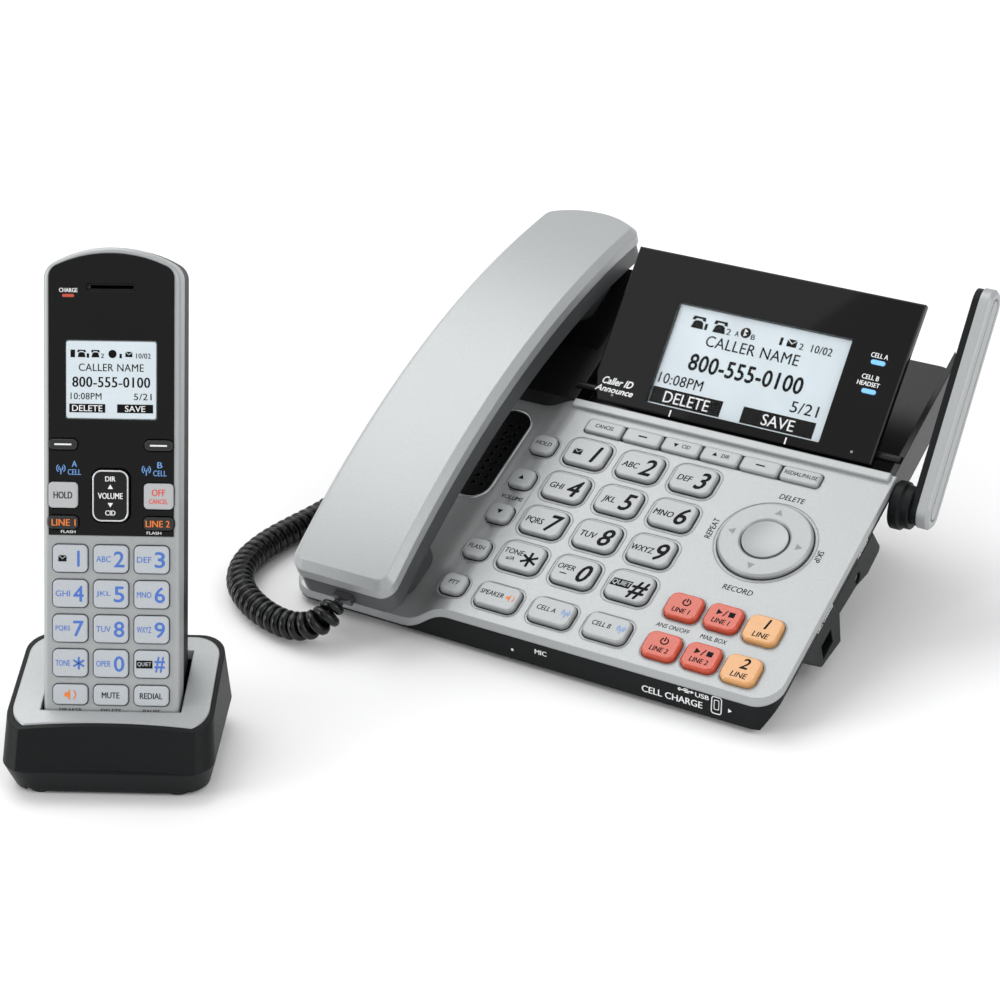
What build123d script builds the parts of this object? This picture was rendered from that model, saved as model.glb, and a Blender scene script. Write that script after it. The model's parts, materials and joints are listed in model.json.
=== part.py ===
"""Two-line desk telephone with a corded handset, a tilting display, an aerial mast and a
cordless handset in its charger.  Millimetres, +Z up, resting on z = 0."""

from build123d import *
from math import atan2, cos, degrees, pi, radians, sin, tan
import os

# ---------------------------------------------------------------- driving dimensions
DECK_TILT = 23.0            # slope of the key deck above the table, degrees
DECK_HEIGHT = 46.4          # height of the "1" key's centre above the table
BODY_LEFT, BODY_RIGHT = -81.7, 110.4
BODY_FRONT, BODY_BACK = -75.2, 84.0     # vertical front and back faces
CORNER_RADIUS = 9.0
FOOT_HEIGHT = 1.2
DECK_EDGE = 24.0            # where the silver deck ends, measured up the slope
SHELL_WALL = 2.4
TOP_THICKNESS = 3.0
CHANNEL_DROP = 7.5          # how far the handset channel lies below the deck
CHANNEL_EDGE, CHANNEL_FOOT = -14.0, -34.0
BODY_THICKNESS = 21.0       # deck to underside, square to the deck
SIDE_BAND = 6.5

# keys on the deck, in deck coordinates centred on the "1" key
DIAL_PITCH_X, DIAL_PITCH_Y = 21.5, 17.45
DIAL_NAMES = ["1", "2", "3", "4", "5", "6", "7", "8", "9", "star", "0", "hash"]
DIAL_CAP = (16.4, 12.6)
KEY_HEIGHT = 1.7            # dial key top above the deck
KEY_ROOT = 4.2              # key bottom below the deck's top surface
KEY_GAP = 0.45
NAV_CENTRE = (79.0, -18.2)
NAV_RADIUS, NAV_INNER_RADIUS = 16.8, 8.6
NAV_HEIGHT = 1.9

# display panel: bottom edge of its face, and how far it leans from the horizontal
DISPLAY_TILT = 49.1
DISPLAY_EDGE_Y, DISPLAY_EDGE_Z = 22.3, 57.8
DISPLAY_LEFT, DISPLAY_RIGHT = -12.5, 101.5
DISPLAY_LENGTH = 61.5
BEZEL_THICKNESS, DISPLAY_BACK_THICKNESS = 3.0, 5.6
SCREEN_LEFT, SCREEN_RIGHT, SCREEN_BOTTOM, SCREEN_TOP = 10.4, 79.4, 3.6, 43.4
HINGE_UP, HINGE_DEPTH, HINGE_PIN_RADIUS = 5.0, 4.6, 1.5
BAY_LEFT, BAY_RIGHT = -17.5, 107.4
BAY_BACK = 130.0            # beyond the housing: the bay is open at the back
BAY_DEPTH = 8.5
HOUSING_SPLIT = -14.0       # joint line of the rear housing, below the deck

# corded handset, in deck coordinates: a gently arched slab
HANDSET_CENTRE_X, HANDSET_WIDTH = -49.0, 42.0
HANDSET_ARC = [(-93.0, 18.3), (9.0, 29.6), (113.0, 9.7)]
HANDSET_UPPER, HANDSET_LOWER = 6.6, 15.2
UPPER_INSET, LOWER_INSET = 0.05, 0.9    # how far each shell is drawn in from the outline
MOUTH_BLOCK = (-80.0, -54.0)
EAR_BLOCK = (64.0, 92.0)
BLOCK_HALF_WIDTH = 15.0
HANDSET_JACK_Z = 6.4
HOUSING_TAIL = 97.0         # ear cradle's far end, up the slope
CRADLE_DROP = 3.0           # the cradle lies this far below the deck

# aerial mast, in side view: pivot, lean and size
MAST_PIVOT_Y, MAST_PIVOT_Z = 22.6, 45.0
MAST_LEAN = 36.3
MAST_LENGTH, MAST_WIDTH = 75.8, 12.6
MAST_INNER_X, MAST_SPLIT_X, MAST_OUTER_X = 118.0, 120.6, 125.0
HUB_RADIUS = 8.7

# fixings and sockets, in deck coordinates
SCREW_PLACES = [(-40, 34), (60, 34), (-40, 62), (60, 62)]
SCREW_RADIUS = 1.4
SOCKET_PLACES = [-4.0, 16.0, 36.0]
SOCKET_BACK = 80.0

# charger and cordless handset
CHARGER_CENTRE = (-70.9, -187.9)
CHARGER_YAW = 28.0
CHARGER_WIDTH, CHARGER_DEPTH = 68.0, 56.0
CHARGER_CREASE, CHARGER_FRONT_HEIGHT = 10.0, 21.0
CHARGER_FRONT_LEAN = 6.7    # how far the front face leans back between crease and top plate
CHARGER_FRONT_HOLLOW = 2.2  # depth of the shallow curve across the front face
CHARGER_TOP_SLOPE = 10.0
CHARGER_RIM = 1.5
PLATE_THICKNESS = 2.2
CORDLESS_WIDTH, CORDLESS_LENGTH, CORDLESS_DEPTH = 43.5, 157.5, 24.0
CORDLESS_LEAN = 22.0
CORDLESS_SEAT_Y, CORDLESS_SEAT_Z = -14.5, 13.2
POCKET_FLOOR = 1.4          # charger pocket's floor, below the resting handset

# curly cord: outer diameter of the coil, and the middle of its route (x, y, z)
COIL_DIAMETER = 10.6
CORD_ROUTE = [
    (-49.5, -90.4, 15.2), (-50.3, -95.6, 12.6), (-54.0, -99.4, 9.2), (-61.5, -100.4, 6.4),
    (-73.0, -98.3, 5.4), (-86.0, -92.8, 5.4), (-97.5, -84.0, 5.4), (-104.8, -72.5, 5.4),
    (-107.4, -59.0, 5.4), (-106.8, -45.0, 5.4), (-104.2, -31.0, 5.4), (-101.4, -17.2, 6.0),
    (-98.8, -4.4, 9.8), (-96.4, 6.4, 16.6), (-93.8, 14.2, 24.6), (-91.2, 19.4, 32.6),
    (-88.4, 23.0, 37.8), (-84.6, 24.8, 40.2),
]
PLUG_WIDTH, PLUG_HEIGHT = 7.0, 3.8
BASE_JACK_Y, BASE_JACK_Z = 24.8, 40.2      # where the cord enters the base's left side

SLOPE = radians(DECK_TILT)
DECK = Plane(origin=(0, 0, DECK_HEIGHT), x_dir=(1, 0, 0), z_dir=(0, -sin(SLOPE), cos(SLOPE)))
PANEL_TILT = radians(DISPLAY_TILT)
PANEL = Plane(
    origin=(0, DISPLAY_EDGE_Y, DISPLAY_EDGE_Z),
    x_dir=(1, 0, 0),
    z_dir=(0, -sin(PANEL_TILT), cos(PANEL_TILT)),
)
MAST = Location((0, MAST_PIVOT_Y, MAST_PIVOT_Z), (-MAST_LEAN, 0, 0))
CHARGER = Location((CHARGER_CENTRE[0], CHARGER_CENTRE[1], 0), (0, 0, CHARGER_YAW))
CORDLESS = CHARGER * Location((0, CORDLESS_SEAT_Y, CORDLESS_SEAT_Z), (90 - CORDLESS_LEAN, 0, 0))

BIG = 600.0
parts = {}
cord_nodes = ["cord_coil", "cord_plug_handset", "cord_plug_base"]


# ---------------------------------------------------------------- helpers
def block(x0, x1, y0, y1, z0, z1):
    """An upright box given by its limits."""
    size = (x1 - x0, y1 - y0, z1 - z0)
    middle = ((x0 + x1) / 2, (y0 + y1) / 2, (z0 + z1) / 2)
    return Location(middle) * Box(*size)


def soft_block(x0, x1, y0, y1, z0, z1, corner, top=0.0):
    """A box with rounded upright corners and, if asked, a rounded top rim."""
    outline = Location(((x0 + x1) / 2, (y0 + y1) / 2, z0)) * RectangleRounded(x1 - x0, y1 - y0, corner)
    body = extrude(outline, z1 - z0)
    if top:
        body = fillet(body.edges().group_by(Axis.Z)[-1], top)
    return body


def pill(x, y, width, height, z0, z1, corner, top=0.0):
    """A soft block given by its middle and size."""
    return soft_block(
        x - width / 2, x + width / 2, y - height / 2, y + height / 2, z0, z1, corner, top
    )


def disc(x, y, z0, z1, radius):
    return Location((x, y, (z0 + z1) / 2)) * Cylinder(radius, z1 - z0)


def along_x(y, z, x0, x1, radius):
    """A cylinder whose axis runs along X."""
    return Location(((x0 + x1) / 2, y, z), (0, 90, 0)) * Cylinder(radius, x1 - x0)


def on_deck(shape):
    return shape.moved(DECK.location)


def keep(name, shape):
    parts[name] = shape


# ---------------------------------------------------------------- telephone base
def footprint(inset):
    """Vertical prism of the base's rounded plan outline."""
    left, right = BODY_LEFT + inset, BODY_RIGHT - inset
    front, back = BODY_FRONT + inset, BODY_BACK - inset
    return soft_block(left, right, front, back, -10, 160, CORNER_RADIUS - inset)


def deck_profile(drop, left, right):
    """Deck cross-section as a wire, from right to left: flat, S-shaped step, channel, rolled edge."""
    low = -CHANNEL_DROP - drop
    roll = 6.0
    return [
        Line((right, -drop), (CHANNEL_EDGE, -drop)),
        Spline([(CHANNEL_EDGE, -drop), (CHANNEL_FOOT, low)], tangents=[(-1, 0), (-1, 0)]),
        Line((CHANNEL_FOOT, low), (left + roll, low)),
        Line((left + roll, low), (left, low - roll / 3)),
    ]


def deck_sheet(drop_top, drop_bottom, y0, y1):
    """Sheet that follows the deck profile between two depths, in deck coordinates."""
    left, right = BODY_LEFT - 2, BODY_RIGHT + 2
    top = deck_profile(drop_top, left, right)
    bottom = deck_profile(drop_bottom, left, right)
    ends = [
        Line(top[0] @ 0, bottom[0] @ 0),
        Line(top[-1] @ 1, bottom[-1] @ 1),
    ]
    face = make_face(Curve() + top + bottom + ends)
    upright = Plane.XZ * face
    return Location((0, y1, 0)) * extrude(upright, y1 - y0)


def side_profile(inset):
    """Cross-section of the lower body: an upright band, then an undercut."""
    left, right = BODY_LEFT + inset, BODY_RIGHT - inset
    low = -BODY_THICKNESS + inset
    points = [
        (left, 4),
        (left, -SIDE_BAND - CHANNEL_DROP + 2),
        (left + 7, -16),
        (left + 15, low),
        (right - 15, low),
        (right - 6, -14),
        (right, -SIDE_BAND),
        (right, 4),
    ]
    return make_face(Polyline(*points, close=True))


def lower_body(inset):
    """Solid lower body up to just above the deck, its faces drawn in by the inset."""
    slab = on_deck(Location((0, 200, 0)) * extrude(Plane.XZ * side_profile(inset), 400))
    above_table = block(-BIG, BIG, -BIG, BIG, FOOT_HEIGHT + inset, BIG)
    return slab & footprint(inset) & above_table


def deck_cut(z0, z1, y0, y1):
    """Large slab in deck coordinates, for cutting."""
    return on_deck(block(-BIG, BIG, y0, y1, z0, z1))


def key_layout():
    """Every key of the deck except the dial and the navigator: group, middle, size."""
    soft_width = 15.0
    soft = [("soft_keys", -7.0 + 15.65 * i + soft_width / 2, 13.4, soft_width, 6.6) for i in range(6)]
    side = [("side_keys", -17.4, y, 9.4, 8.8) for y in (-1.2, -18.6, -36.1, -53.7, -71.0)]
    call = [("call_keys", 0.6 + DIAL_PITCH_X * i, -71.4, 16.4, 10.6) for i in range(3)]
    answer = [("answer_keys", x, y, 12.8, 10.8) for x in (64.9, 79.8) for y in (-54.6, -72.4)]
    line = [("line_keys", 94.7, y, 12.8, 11.4) for y in (-55.1, -72.9)]
    return soft + side + call + answer + line


def dial_layout():
    """Name and middle of each dial key."""
    for index, name in enumerate(DIAL_NAMES):
        row, column = divmod(index, 3)
        yield name, column * DIAL_PITCH_X, -row * DIAL_PITCH_Y


def key_cap(x, y, width, height, rise, corner, gap=0.0):
    """Key cap with a rounded top; a gap makes it the opening that the cap runs in."""
    if gap:
        return pill(x, y, width + 2 * gap, height + 2 * gap, -20, 20, corner + gap)
    return pill(x, y, width, height, -KEY_ROOT, rise, corner, top=0.9)


def build_keys():
    """All keys of the deck, and the openings they need in it."""
    openings = []
    for name, x, y in dial_layout():
        keep("key_" + name, on_deck(key_cap(x, y, *DIAL_CAP, KEY_HEIGHT, 3.4)))
        openings.append(key_cap(x, y, *DIAL_CAP, 0, 3.4, KEY_GAP))
    groups = {}
    for group, x, y, width, height in key_layout():
        rise = 1.3 if group == "soft_keys" else 2.0
        corner = 1.6 if group == "soft_keys" else 3.0
        groups.setdefault(group, []).append(key_cap(x, y, width, height, rise, corner))
        if group != "soft_keys":
            openings.append(key_cap(x, y, width, height, 0, corner, KEY_GAP / 2))
    openings.append(soft_block(-7.4, 86.7, 9.85, 16.95, -20, 20, 1.8))
    for group, caps in groups.items():
        keep(group, on_deck(Compound(children=caps)))
    x, y = NAV_CENTRE
    ring = disc(x, y, -KEY_ROOT, NAV_HEIGHT, NAV_RADIUS) - disc(x, y, -20, 20, NAV_INNER_RADIUS)
    ring = chamfer(ring.edges().group_by(Axis.Z)[-1], 0.7)
    keep("navigation_ring", on_deck(ring))
    dish = disc(x, y, -KEY_ROOT, NAV_HEIGHT + 0.1, NAV_INNER_RADIUS - 0.4)
    dish -= Location((x, y, 41.0)) * Sphere(40.0)
    keep("navigation_centre", on_deck(dish))
    openings.append(disc(x, y, -20, 20, NAV_RADIUS + KEY_GAP))
    return openings


def build_deck(openings):
    """Silver deck shell with its key openings and the raised ridge at its back edge."""
    sheet = on_deck(deck_sheet(0, TOP_THICKNESS, -120, DECK_EDGE))
    shell = sheet & footprint(0)
    ridge = soft_block(-17.0, BODY_RIGHT - 1.5, DECK_EDGE - 3.8, DECK_EDGE, -1.0, 1.5, 0.9, top=0.6)
    shell = shell + on_deck(ridge)
    for opening in openings + [speaker_opening(0.3)]:
        shell -= on_deck(opening)
    keep("deck_shell", shell)


def speaker_opening(gap):
    """Opening for the loudspeaker grille in the floor of the handset channel."""
    return pill(-40.0, -4.0, 15.0 + 2 * gap, 44.0 + 2 * gap, -14, 2, 7.0)


def build_speaker():
    """Perforated grille and the loudspeaker under it."""
    grille = pill(-40.0, -4.0, 15.0, 44.0, -CHANNEL_DROP - 1.6, -CHANNEL_DROP - 0.2, 6.9)
    for row in range(9):
        for column in range(3):
            x = -43.6 + 3.6 * column
            y = -19.0 + 3.75 * row
            grille -= disc(x, y, -20, 5, 0.9)
    keep("speaker_grille", on_deck(grille))
    cone = disc(-42.0, -4.0, -15.6, -12.2, 13.0) + disc(-42.0, -4.0, -17.2, -15.6, 8.0)
    keep("loudspeaker", on_deck(cone))


def build_lower_shell():
    """Black lower body: hollow, open towards the deck, stepped down under the rear housing."""
    outer = lower_body(0.8)
    inner = lower_body(0.8 + SHELL_WALL)
    shell = outer - inner
    shell -= on_deck(deck_sheet(-60, TOP_THICKNESS, -200, DECK_EDGE))
    for opening in port_openings():
        shell -= opening
    shell -= deck_cut(HOUSING_SPLIT, 200, DECK_EDGE, 400)
    shell -= jack_opening(0.2)
    for x, y in SCREW_PLACES:
        shell -= on_deck(disc(x, y, -30, -10, SCREW_RADIUS + 0.1))
    for opening in rear_socket_blocks(-0.9, 12.0):
        shell -= on_deck(opening)
    keep("base_shell", shell)


def jack_opening(gap):
    """Way through the base's left side for the cord's plug."""
    half_width, half_height = PLUG_WIDTH / 2 + gap, PLUG_HEIGHT / 2 + gap
    return block(
        BODY_LEFT - 8, BODY_LEFT + 14, BASE_JACK_Y - half_width, BASE_JACK_Y + half_width,
        BASE_JACK_Z - half_height, BASE_JACK_Z + half_height,
    )


def rear_socket_blocks(gap, reach=0.0):
    """Space of the three sockets in the back wall, in deck coordinates."""
    y0, y1 = SOCKET_BACK - 13.0, SOCKET_BACK
    z0, z1 = -17.5, -11.0
    return [
        block(x - 6.5 - gap, x + 6.5 + gap, y0 - gap, y1 + gap + reach, z0 - gap, z1 + gap)
        for x in SOCKET_PLACES
    ]


def build_rear_housing():
    """Black housing behind the deck: display bay on the right, ear cradle on the left."""
    shell = footprint(0.8) & deck_cut(HOUSING_SPLIT, 0, DECK_EDGE, 400)
    tail = soft_block(BODY_LEFT + 0.8, BAY_LEFT - 2, 60.0, HOUSING_TAIL, HOUSING_SPLIT, 0, 6.0)
    shell = shell + on_deck(tail)
    shell -= on_deck(block(-BIG, BAY_LEFT - 3.5, 50.0, BIG, -CRADLE_DROP, BIG))
    bay = soft_block(BAY_LEFT, BAY_RIGHT, DECK_EDGE + 1.2, BAY_BACK, -BAY_DEPTH, 20, 1.5)
    cup = soft_block(
        HANDSET_CENTRE_X - BLOCK_HALF_WIDTH - 1,
        HANDSET_CENTRE_X + BLOCK_HALF_WIDTH + 1,
        EAR_BLOCK[0] - 1,
        EAR_BLOCK[1] + 1,
        -8.0,
        20,
        9.0,
    )
    shell = shell - on_deck(bay) - on_deck(cup)
    shell -= on_deck(block(BAY_LEFT, BAY_RIGHT, DECK_EDGE + 0.5, DECK_EDGE + 3.0, -2.5, 20))
    hinge = PANEL.from_local_coords(Vector(0, HINGE_UP, -HINGE_DEPTH))
    shell -= along_x(hinge.Y, hinge.Z, BAY_LEFT - 3.0, BAY_RIGHT + 2.0, HINGE_PIN_RADIUS + 0.05)
    shell -= on_deck(block(-52.4, -45.6, 55.6, 60.4, -30, 10))
    for space in rear_socket_blocks(0.1) + rear_socket_blocks(-0.9, 12.0):
        shell -= on_deck(space)
    keep("rear_housing", shell)
    return hinge


def build_hook_switch():
    """Plunger that the resting handset holds down."""
    stem = soft_block(-52.0, -46.0, 56.0, 60.0, -10.0, 7.9, 1.2, top=0.8)
    keep("hook_switch", on_deck(stem))


def build_bracket():
    """Hollow stand that carries the raised back of the body."""
    wedge = block(-58, 78, 16, 76, FOOT_HEIGHT, 120)
    core = block(-55, 75, 19, 73, -10, 120)
    below = on_deck(block(-BIG, BIG, -BIG, BIG, -BIG, -BODY_THICKNESS))
    roof = on_deck(block(-55, 75, 0, 90, -BODY_THICKNESS - 3.0, -BODY_THICKNESS))
    stand = ((wedge - core) + (roof & wedge)) & below
    for x, y in SCREW_PLACES:
        stand -= on_deck(disc(x, y, -40, 0, SCREW_RADIUS + 0.1))
    keep("desk_stand", stand)


def build_feet_and_screws():
    """Rubber pads under the base, stand and charger; screws of the base."""
    pads = []
    for x in (BODY_LEFT + 28, BODY_RIGHT - 28):
        pads.append(disc(x, BODY_FRONT + 9.5, 0, FOOT_HEIGHT, 5.0))
    for x in (-48, 68):
        pads.append(disc(x, 17.5, 0, FOOT_HEIGHT, 1.4) + block(x - 8, x + 8, 16.2, 18.8, 0, FOOT_HEIGHT))
        pads.append(block(x - 8, x + 8, 73.2, 75.8, 0, FOOT_HEIGHT))
    for x in (-22, 22):
        for y in (-20, 20):
            pads.append(CHARGER * disc(x, y, 0, FOOT_HEIGHT, 4.0))
    keep("rubber_feet", Compound(children=pads))
    screws = []
    for x, y in SCREW_PLACES:
        head = disc(x, y, -BODY_THICKNESS - 4.6, -BODY_THICKNESS - 3.0, 3.0)
        screw = head + disc(x, y, -BODY_THICKNESS - 3.0, -BODY_THICKNESS + 4.5, SCREW_RADIUS)
        screw -= block(x - 2.0, x + 2.0, y - 0.4, y + 0.4, -BODY_THICKNESS - 5.0, -BODY_THICKNESS - 3.8)
        screws.append(on_deck(screw))
    keep("stand_screws", Compound(children=screws))


def build_electronics():
    """Main board, rubber key mat and the row of rear sockets."""
    board = block(-20, 100, -68, 18, -11.4, -9.8)
    keep("main_board", on_deck(board))
    mat = block(-22.6, 104, -79, 19, -7.6, -6.6)
    domes = [disc(x, y, -6.6, -6.1, 3.0) for _, x, y in dial_layout()]
    for dome in domes:
        mat += dome
    keep("key_mat", on_deck(mat))
    sockets = []
    for outer, inner in zip(rear_socket_blocks(0), rear_socket_blocks(-1.4, 6.0)):
        sockets.append(on_deck(outer - inner))
    keep("rear_sockets", Compound(children=sockets))


def port_openings():
    """Headset socket and charging socket, open to the right."""
    jack = along_x(-11.5, -15.4, 102.0, 112.0, 2.2)
    charge_slot = block(101.0, 112.0, -43.7, -35.3, -22.5, -15.5)
    return [on_deck(jack), on_deck(charge_slot)]


def build_side_ports():
    """Moulded pods on the right side with the headset socket and two charging sockets."""
    outline = [
        (4.5, -8.0), (8.5, -20.0), (7.0, -22.0), (-4.0, -22.4), (-13.5, -18.6),
        (-27.0, -17.0), (-29.3, -29.6), (-45.0, -25.4), (-52.5, -15.0), (-57.0, -7.0),
    ]
    face = make_face(Polyline(*outline, close=True))
    pod = Location((96.0, 0, 0)) * extrude(Plane.YZ * face, 13.0)
    pod = fillet(pod.faces().sort_by(Axis.X)[-1].edges(), 1.2)
    pod = on_deck(pod) - lower_body(0.7)
    for opening in port_openings():
        pod -= opening
    keep("port_housing", pod)
    sleeve = on_deck(
        along_x(-11.5, -15.4, 102.0, 108.0, 2.15) - along_x(-11.5, -15.4, 103.5, 112.0, 1.5)
    )
    tongue = on_deck(block(101.05, 103.6, -42.5, -36.5, -19.9, -18.1))
    keep("port_contacts", Compound(children=[sleeve, tongue]))


# ---------------------------------------------------------------- display
def build_display():
    """Tilting display: bezel, window, screen module, lamps and back cover with hinge pins."""
    notch = (3.6, 10.5)
    outline = Polyline(
        (DISPLAY_LEFT + notch[0], 0),
        (DISPLAY_RIGHT - 1.2, 0),
        (DISPLAY_RIGHT, DISPLAY_LENGTH),
        (DISPLAY_LEFT, DISPLAY_LENGTH),
        (DISPLAY_LEFT, notch[1]),
        close=True,
    )
    bezel = extrude(make_face(outline), -BEZEL_THICKNESS)
    bezel = chamfer(bezel.edges().group_by(Axis.Z)[-1], 0.5)
    opening = soft_block(SCREEN_LEFT, SCREEN_RIGHT, SCREEN_BOTTOM, SCREEN_TOP, -20, 20, 0.5)
    bezel -= opening
    lamp_places = [(91.2, 36.8), (91.2, 25.8)]
    for x, y in lamp_places:
        bezel -= pill(x, y, 5.6, 1.9, -20, 20, 0.9)
    keep("display_bezel", bezel.moved(PANEL.location))
    pane = soft_block(
        SCREEN_LEFT + 0.1, SCREEN_RIGHT - 0.1, SCREEN_BOTTOM + 0.1, SCREEN_TOP - 0.1, -1.3, -0.3, 0.4
    )
    keep("display_window", pane.moved(PANEL.location))
    module = block(SCREEN_LEFT - 2, SCREEN_RIGHT + 2, SCREEN_BOTTOM - 1, SCREEN_TOP + 3, -5.6, -3.1)
    glass = block(
        SCREEN_LEFT + 0.2, SCREEN_RIGHT - 0.2, SCREEN_BOTTOM + 0.2, SCREEN_TOP - 0.2, -3.1, -1.6
    )
    keep("display_screen", (module + glass).moved(PANEL.location))
    lamps = [pill(x, y, 5.4, 1.7, -2.8, 0.15, 0.8) for x, y in lamp_places]
    keep("display_lamps", Compound(children=[lamp.moved(PANEL.location) for lamp in lamps]))
    depth = BEZEL_THICKNESS + DISPLAY_BACK_THICKNESS
    cover_left, cover_right = DISPLAY_LEFT + 4.5, DISPLAY_RIGHT - 2.2
    cover_top = -BEZEL_THICKNESS - 0.05
    cover = soft_block(cover_left, cover_right, 1.0, DISPLAY_LENGTH - 1.0, -depth, cover_top, 2.0)
    cover = chamfer(cover.edges().group_by(Axis.Z)[0], 1.6)
    cavity = block(
        DISPLAY_LEFT + 7.0, DISPLAY_RIGHT - 4.6, 3.4 - 1.2, DISPLAY_LENGTH - 3.4, -depth + 1.8, 5
    )
    cover -= cavity
    for x0, x1 in ((BAY_LEFT - 2.4, DISPLAY_LEFT + 5.0), (DISPLAY_RIGHT - 3.0, BAY_RIGHT + 1.6)):
        pin = along_x(HINGE_UP, -HINGE_DEPTH, x0, x1, HINGE_PIN_RADIUS)
        cover += pin
    keep("display_cover", cover.moved(PANEL.location))


# ---------------------------------------------------------------- mast
def build_mast():
    """Aerial mast: silver outer shell, black inner shell and the hub it turns on."""

    def bar(x0, x1, inset):
        slot = SlotCenterToCenter(MAST_LENGTH, MAST_WIDTH - 2 * inset, rotation=90)
        outline = Location((0, MAST_LENGTH / 2, 0)) * slot
        return Location((x0, 0, 0)) * extrude(Plane.YZ * outline, x1 - x0)

    outer = bar(MAST_SPLIT_X, MAST_OUTER_X, 0)
    outer = chamfer(outer.faces().sort_by(Axis.X)[-1].edges(), 1.0)
    inner = bar(MAST_INNER_X, MAST_SPLIT_X - 0.05, 0.5)
    groove = bar(MAST_OUTER_X - 0.6, MAST_OUTER_X + 1, 3.0) - bar(MAST_OUTER_X - 0.7, MAST_OUTER_X + 2, 3.7)
    outer -= groove
    keep("mast_outer_shell", outer.moved(MAST))
    keep("mast_inner_shell", inner.moved(MAST))
    hub = along_x(0, 0, 114.6, MAST_INNER_X - 0.05, MAST_WIDTH / 2 + 1.4)
    hub += along_x(0, 0, BODY_RIGHT + 0.4, 114.6, HUB_RADIUS)
    hub = chamfer(hub.edges().filter_by(GeomType.CIRCLE), 0.35)
    keep("mast_hub", hub.moved(MAST))


# ---------------------------------------------------------------- corded handset
def handset_plan(inset, z0=-30.0, z1=60.0):
    """Upright prism of the handset's plan outline, in deck coordinates."""
    left = HANDSET_CENTRE_X - HANDSET_WIDTH / 2 + inset
    right = HANDSET_CENTRE_X + HANDSET_WIDTH / 2 - inset
    near, far = HANDSET_ARC[0][0] + inset, HANDSET_ARC[2][0] - inset
    shoulder = far - 9.0
    outline = Curve() + [
        Line((left, shoulder), (left, near)),
        Line((left, near), (right, near)),
        Line((right, near), (right, shoulder)),
        ThreePointArc((right, shoulder), (HANDSET_CENTRE_X, far), (left, shoulder)),
    ]
    face = make_face(outline)
    corners = face.vertices().group_by(Axis.Y)
    face = fillet(corners[0], 6.0 - inset)
    far_corners = face.vertices().filter_by(lambda v: v.Y > shoulder - 1)
    face = fillet(far_corners, 8.0 - inset)
    return Location((0, 0, z0)) * extrude(face, z1 - z0)


def arch_band(upper, lower):
    """Solid between two copies of the handset's arch, in deck coordinates."""
    reach = 30.0
    (y0, z0), (y1, z1), (y2, z2) = HANDSET_ARC

    def arch(drop):
        return ThreePointArc((y0, z0 - drop), (y1, z1 - drop), (y2, z2 - drop))

    top, bottom = arch(upper), arch(lower)
    sides = [Line(top @ 0, bottom @ 0), Line(top @ 1, bottom @ 1)]
    face = make_face(Curve() + [top, bottom] + sides)
    middle = HANDSET_CENTRE_X
    return Location((middle - reach, 0, 0)) * extrude(Plane.YZ * face, 2 * reach)


def build_handset():
    """Corded handset: silver upper shell, black lower shell with ear and mouth blocks, capsules."""
    upper = arch_band(0, HANDSET_UPPER) & handset_plan(UPPER_INSET)
    upper = chamfer(top_rim(upper), 2.6)
    hollow = arch_band(2.0, HANDSET_UPPER + 1) & handset_plan(3.6)
    upper -= hollow
    lower = arch_band(HANDSET_UPPER + 0.35, HANDSET_LOWER) & handset_plan(LOWER_INSET)
    cavity = arch_band(HANDSET_UPPER - 1, HANDSET_LOWER - 2.0) & handset_plan(3.2)
    blocks = []
    capsules = []
    for (y0, y1), foot in ((MOUTH_BLOCK, -CHANNEL_DROP + 0.6), (EAR_BLOCK, -7.0)):
        x0 = HANDSET_CENTRE_X - BLOCK_HALF_WIDTH
        x1 = HANDSET_CENTRE_X + BLOCK_HALF_WIDTH
        outer = soft_block(x0, x1, y0, y1, foot, 24, 8.0) & arch_band(HANDSET_UPPER + 0.35, 60)
        outer = fillet(outer.faces().sort_by(Axis.Z)[0].edges(), 2.0)
        inner = soft_block(x0 + 2.2, x1 - 2.2, y0 + 2.2, y1 - 2.2, foot + 2.2, 30, 6.0)
        blocks.append((outer, inner))
        middle = (y0 + y1) / 2
        capsules.append(disc(HANDSET_CENTRE_X, middle, foot + 2.4, foot + 6.4, 9.0))
    for outer, _ in blocks:
        lower += outer
    lower -= cavity
    for _, inner in blocks:
        lower -= inner
    for y0, y1 in (MOUTH_BLOCK, EAR_BLOCK):
        for turn in range(6):
            place = Location((HANDSET_CENTRE_X, (y0 + y1) / 2, 0), (0, 0, 60 * turn))
            lower -= place * disc(4.0, 0, -12, 0, 0.8)
    lower -= handset_jack()
    keep("handset_upper_shell", on_deck(upper))
    keep("handset_lower_shell", on_deck(lower))
    keep("handset_capsules", on_deck(Compound(children=capsules)))


def top_rim(shell):
    """Edges around the arched top face."""
    face = shell.faces().filter_by(lambda f: f.normal_at().Z > 0.8).sort_by(Axis.Z)[-1]
    return face.edges()


def handset_jack():
    """Square socket for the cord's plug in the handset's near end."""
    half_width, half_height = PLUG_WIDTH / 2 + 0.15, PLUG_HEIGHT / 2 + 0.15
    x = HANDSET_CENTRE_X
    near = HANDSET_ARC[0][0]
    return block(
        x - half_width, x + half_width, near - 2, near + 8.0,
        HANDSET_JACK_Z - half_height, HANDSET_JACK_Z + half_height,
    )


# ---------------------------------------------------------------- cord
def runs_and_radii(points):
    """Tangent arc radius for each corner of the route: 0.45 of the shorter run."""
    radii = []
    for before, at, after in zip(points, points[1:], points[2:]):
        a, b = Vector(*at) - Vector(*before), Vector(*after) - Vector(*at)
        turn = radians(a.get_angle(b))
        radii.append(0.45 * min(a.length, b.length) / tan(turn / 2))
    return radii


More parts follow.
